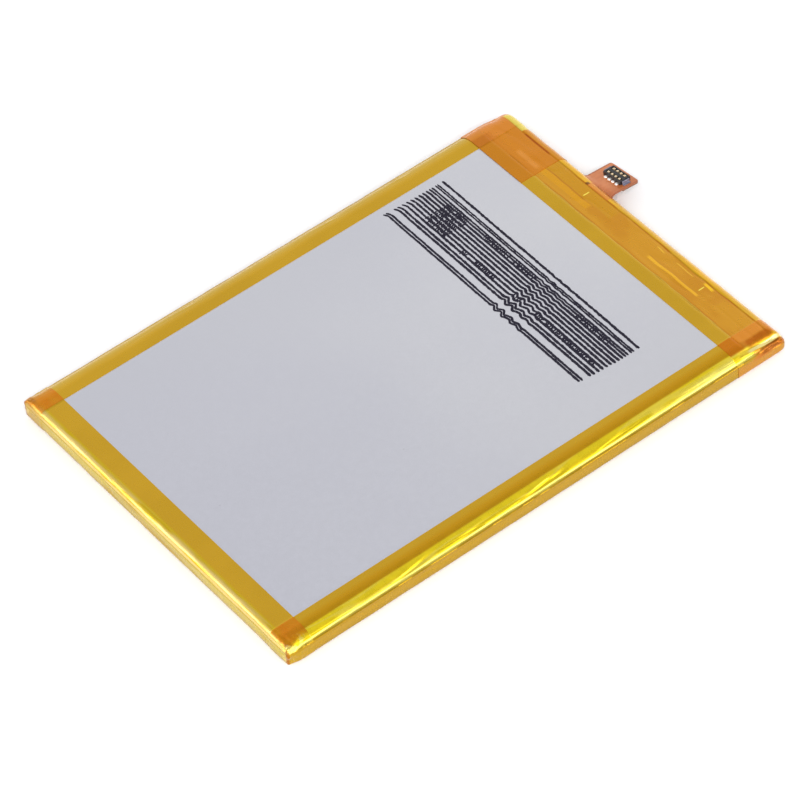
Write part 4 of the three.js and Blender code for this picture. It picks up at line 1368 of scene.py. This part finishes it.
def board_finish():
    finish = simple_finish("board_solder_mask", (0.010, 0.085, 0.040), (0.016, 0.110, 0.052), 0.4, 0.0, 700.0)
    tracks = finish.both(finish.stripes("Y", 0.6, 0.35, 0.40, 0.60, 0.65), "track_breaks")
    finish.blend(finish.both(tracks, 0.6), (0.03, 0.18, 0.085), "tracks")
    finish.bump(tracks, 0.02)
    finish.coat(0.5, 0.2)
    return finish.material


SLOTS = {
    "copper_foil": ["anode_strip"],
    "aluminium_foil": ["cathode_strip", "positive_tab"],
    "separator_film": ["separator_inner", "separator_outer"],
    "tab_sealant": ["positive_tab_sealant", "negative_tab_sealant"],
    "nickel": ["negative_tab", "positive_weld_plate", "negative_weld_plate"],
    "board_laminate": ["protection_board"],
    "foam": ["board_spacer"],
    "insulating_paper": ["board_insulator"],
    "chip_moulding": [
        "protection_ic", "mosfet_1", "mosfet_2", "thermal_cutoff", "resistor_1", "resistor_2", "resistor_3",
    ],
    "chip_ceramic": ["thermistor", "capacitor_1", "capacitor_2", "capacitor_3"],
    "connector_moulding": ["connector_housing"],
    "gold_plate": [f"contact_{i + 1}" for i in range(2 * CONTACTS_IN_ROW)],
    "stiffener_sheet": ["stiffener"],
    "nickel_dull": ["hold_down_left", "hold_down_right"],
}
HOUSING_BEVEL = 0.06
FINE_BEVEL = 0.03


def soften(node, width):
    """Rounds the edges by this many millimetres."""
    merge = node.modifiers.new("merge_points", "WELD")
    merge.merge_threshold = 1e-6
    flat = node.modifiers.new("flat_faces", "DECIMATE")
    flat.decimate_type = "DISSOLVE"
    flat.angle_limit = math.radians(1)
    bevel = node.modifiers.new("soft_edges", "BEVEL")
    bevel.width = width * MM
    bevel.segments = 3
    bevel.limit_method = "ANGLE"
    bevel.angle_limit = math.radians(35)


def finish_cad_nodes():
    finishes = {slot: simple_finish(*values).material for slot, values in PLAIN_FINISHES.items()}
    finishes["board_laminate"] = board_finish()
    for slot, names in SLOTS.items():
        for name in names:
            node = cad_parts[name]
            node.data.materials.clear()
            node.data.materials.append(finishes[slot])
    soften(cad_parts["connector_housing"], HOUSING_BEVEL)
    for slot in ("nickel_dull", "stiffener_sheet", "gold_plate"):
        for name in SLOTS[slot]:
            soften(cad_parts[name], FINE_BEVEL)


make_camera()
make_stage()
make_pouch()
make_tapes()
make_ink()
make_flex()
make_solder()
make_contact_springs()
finish_cad_nodes()
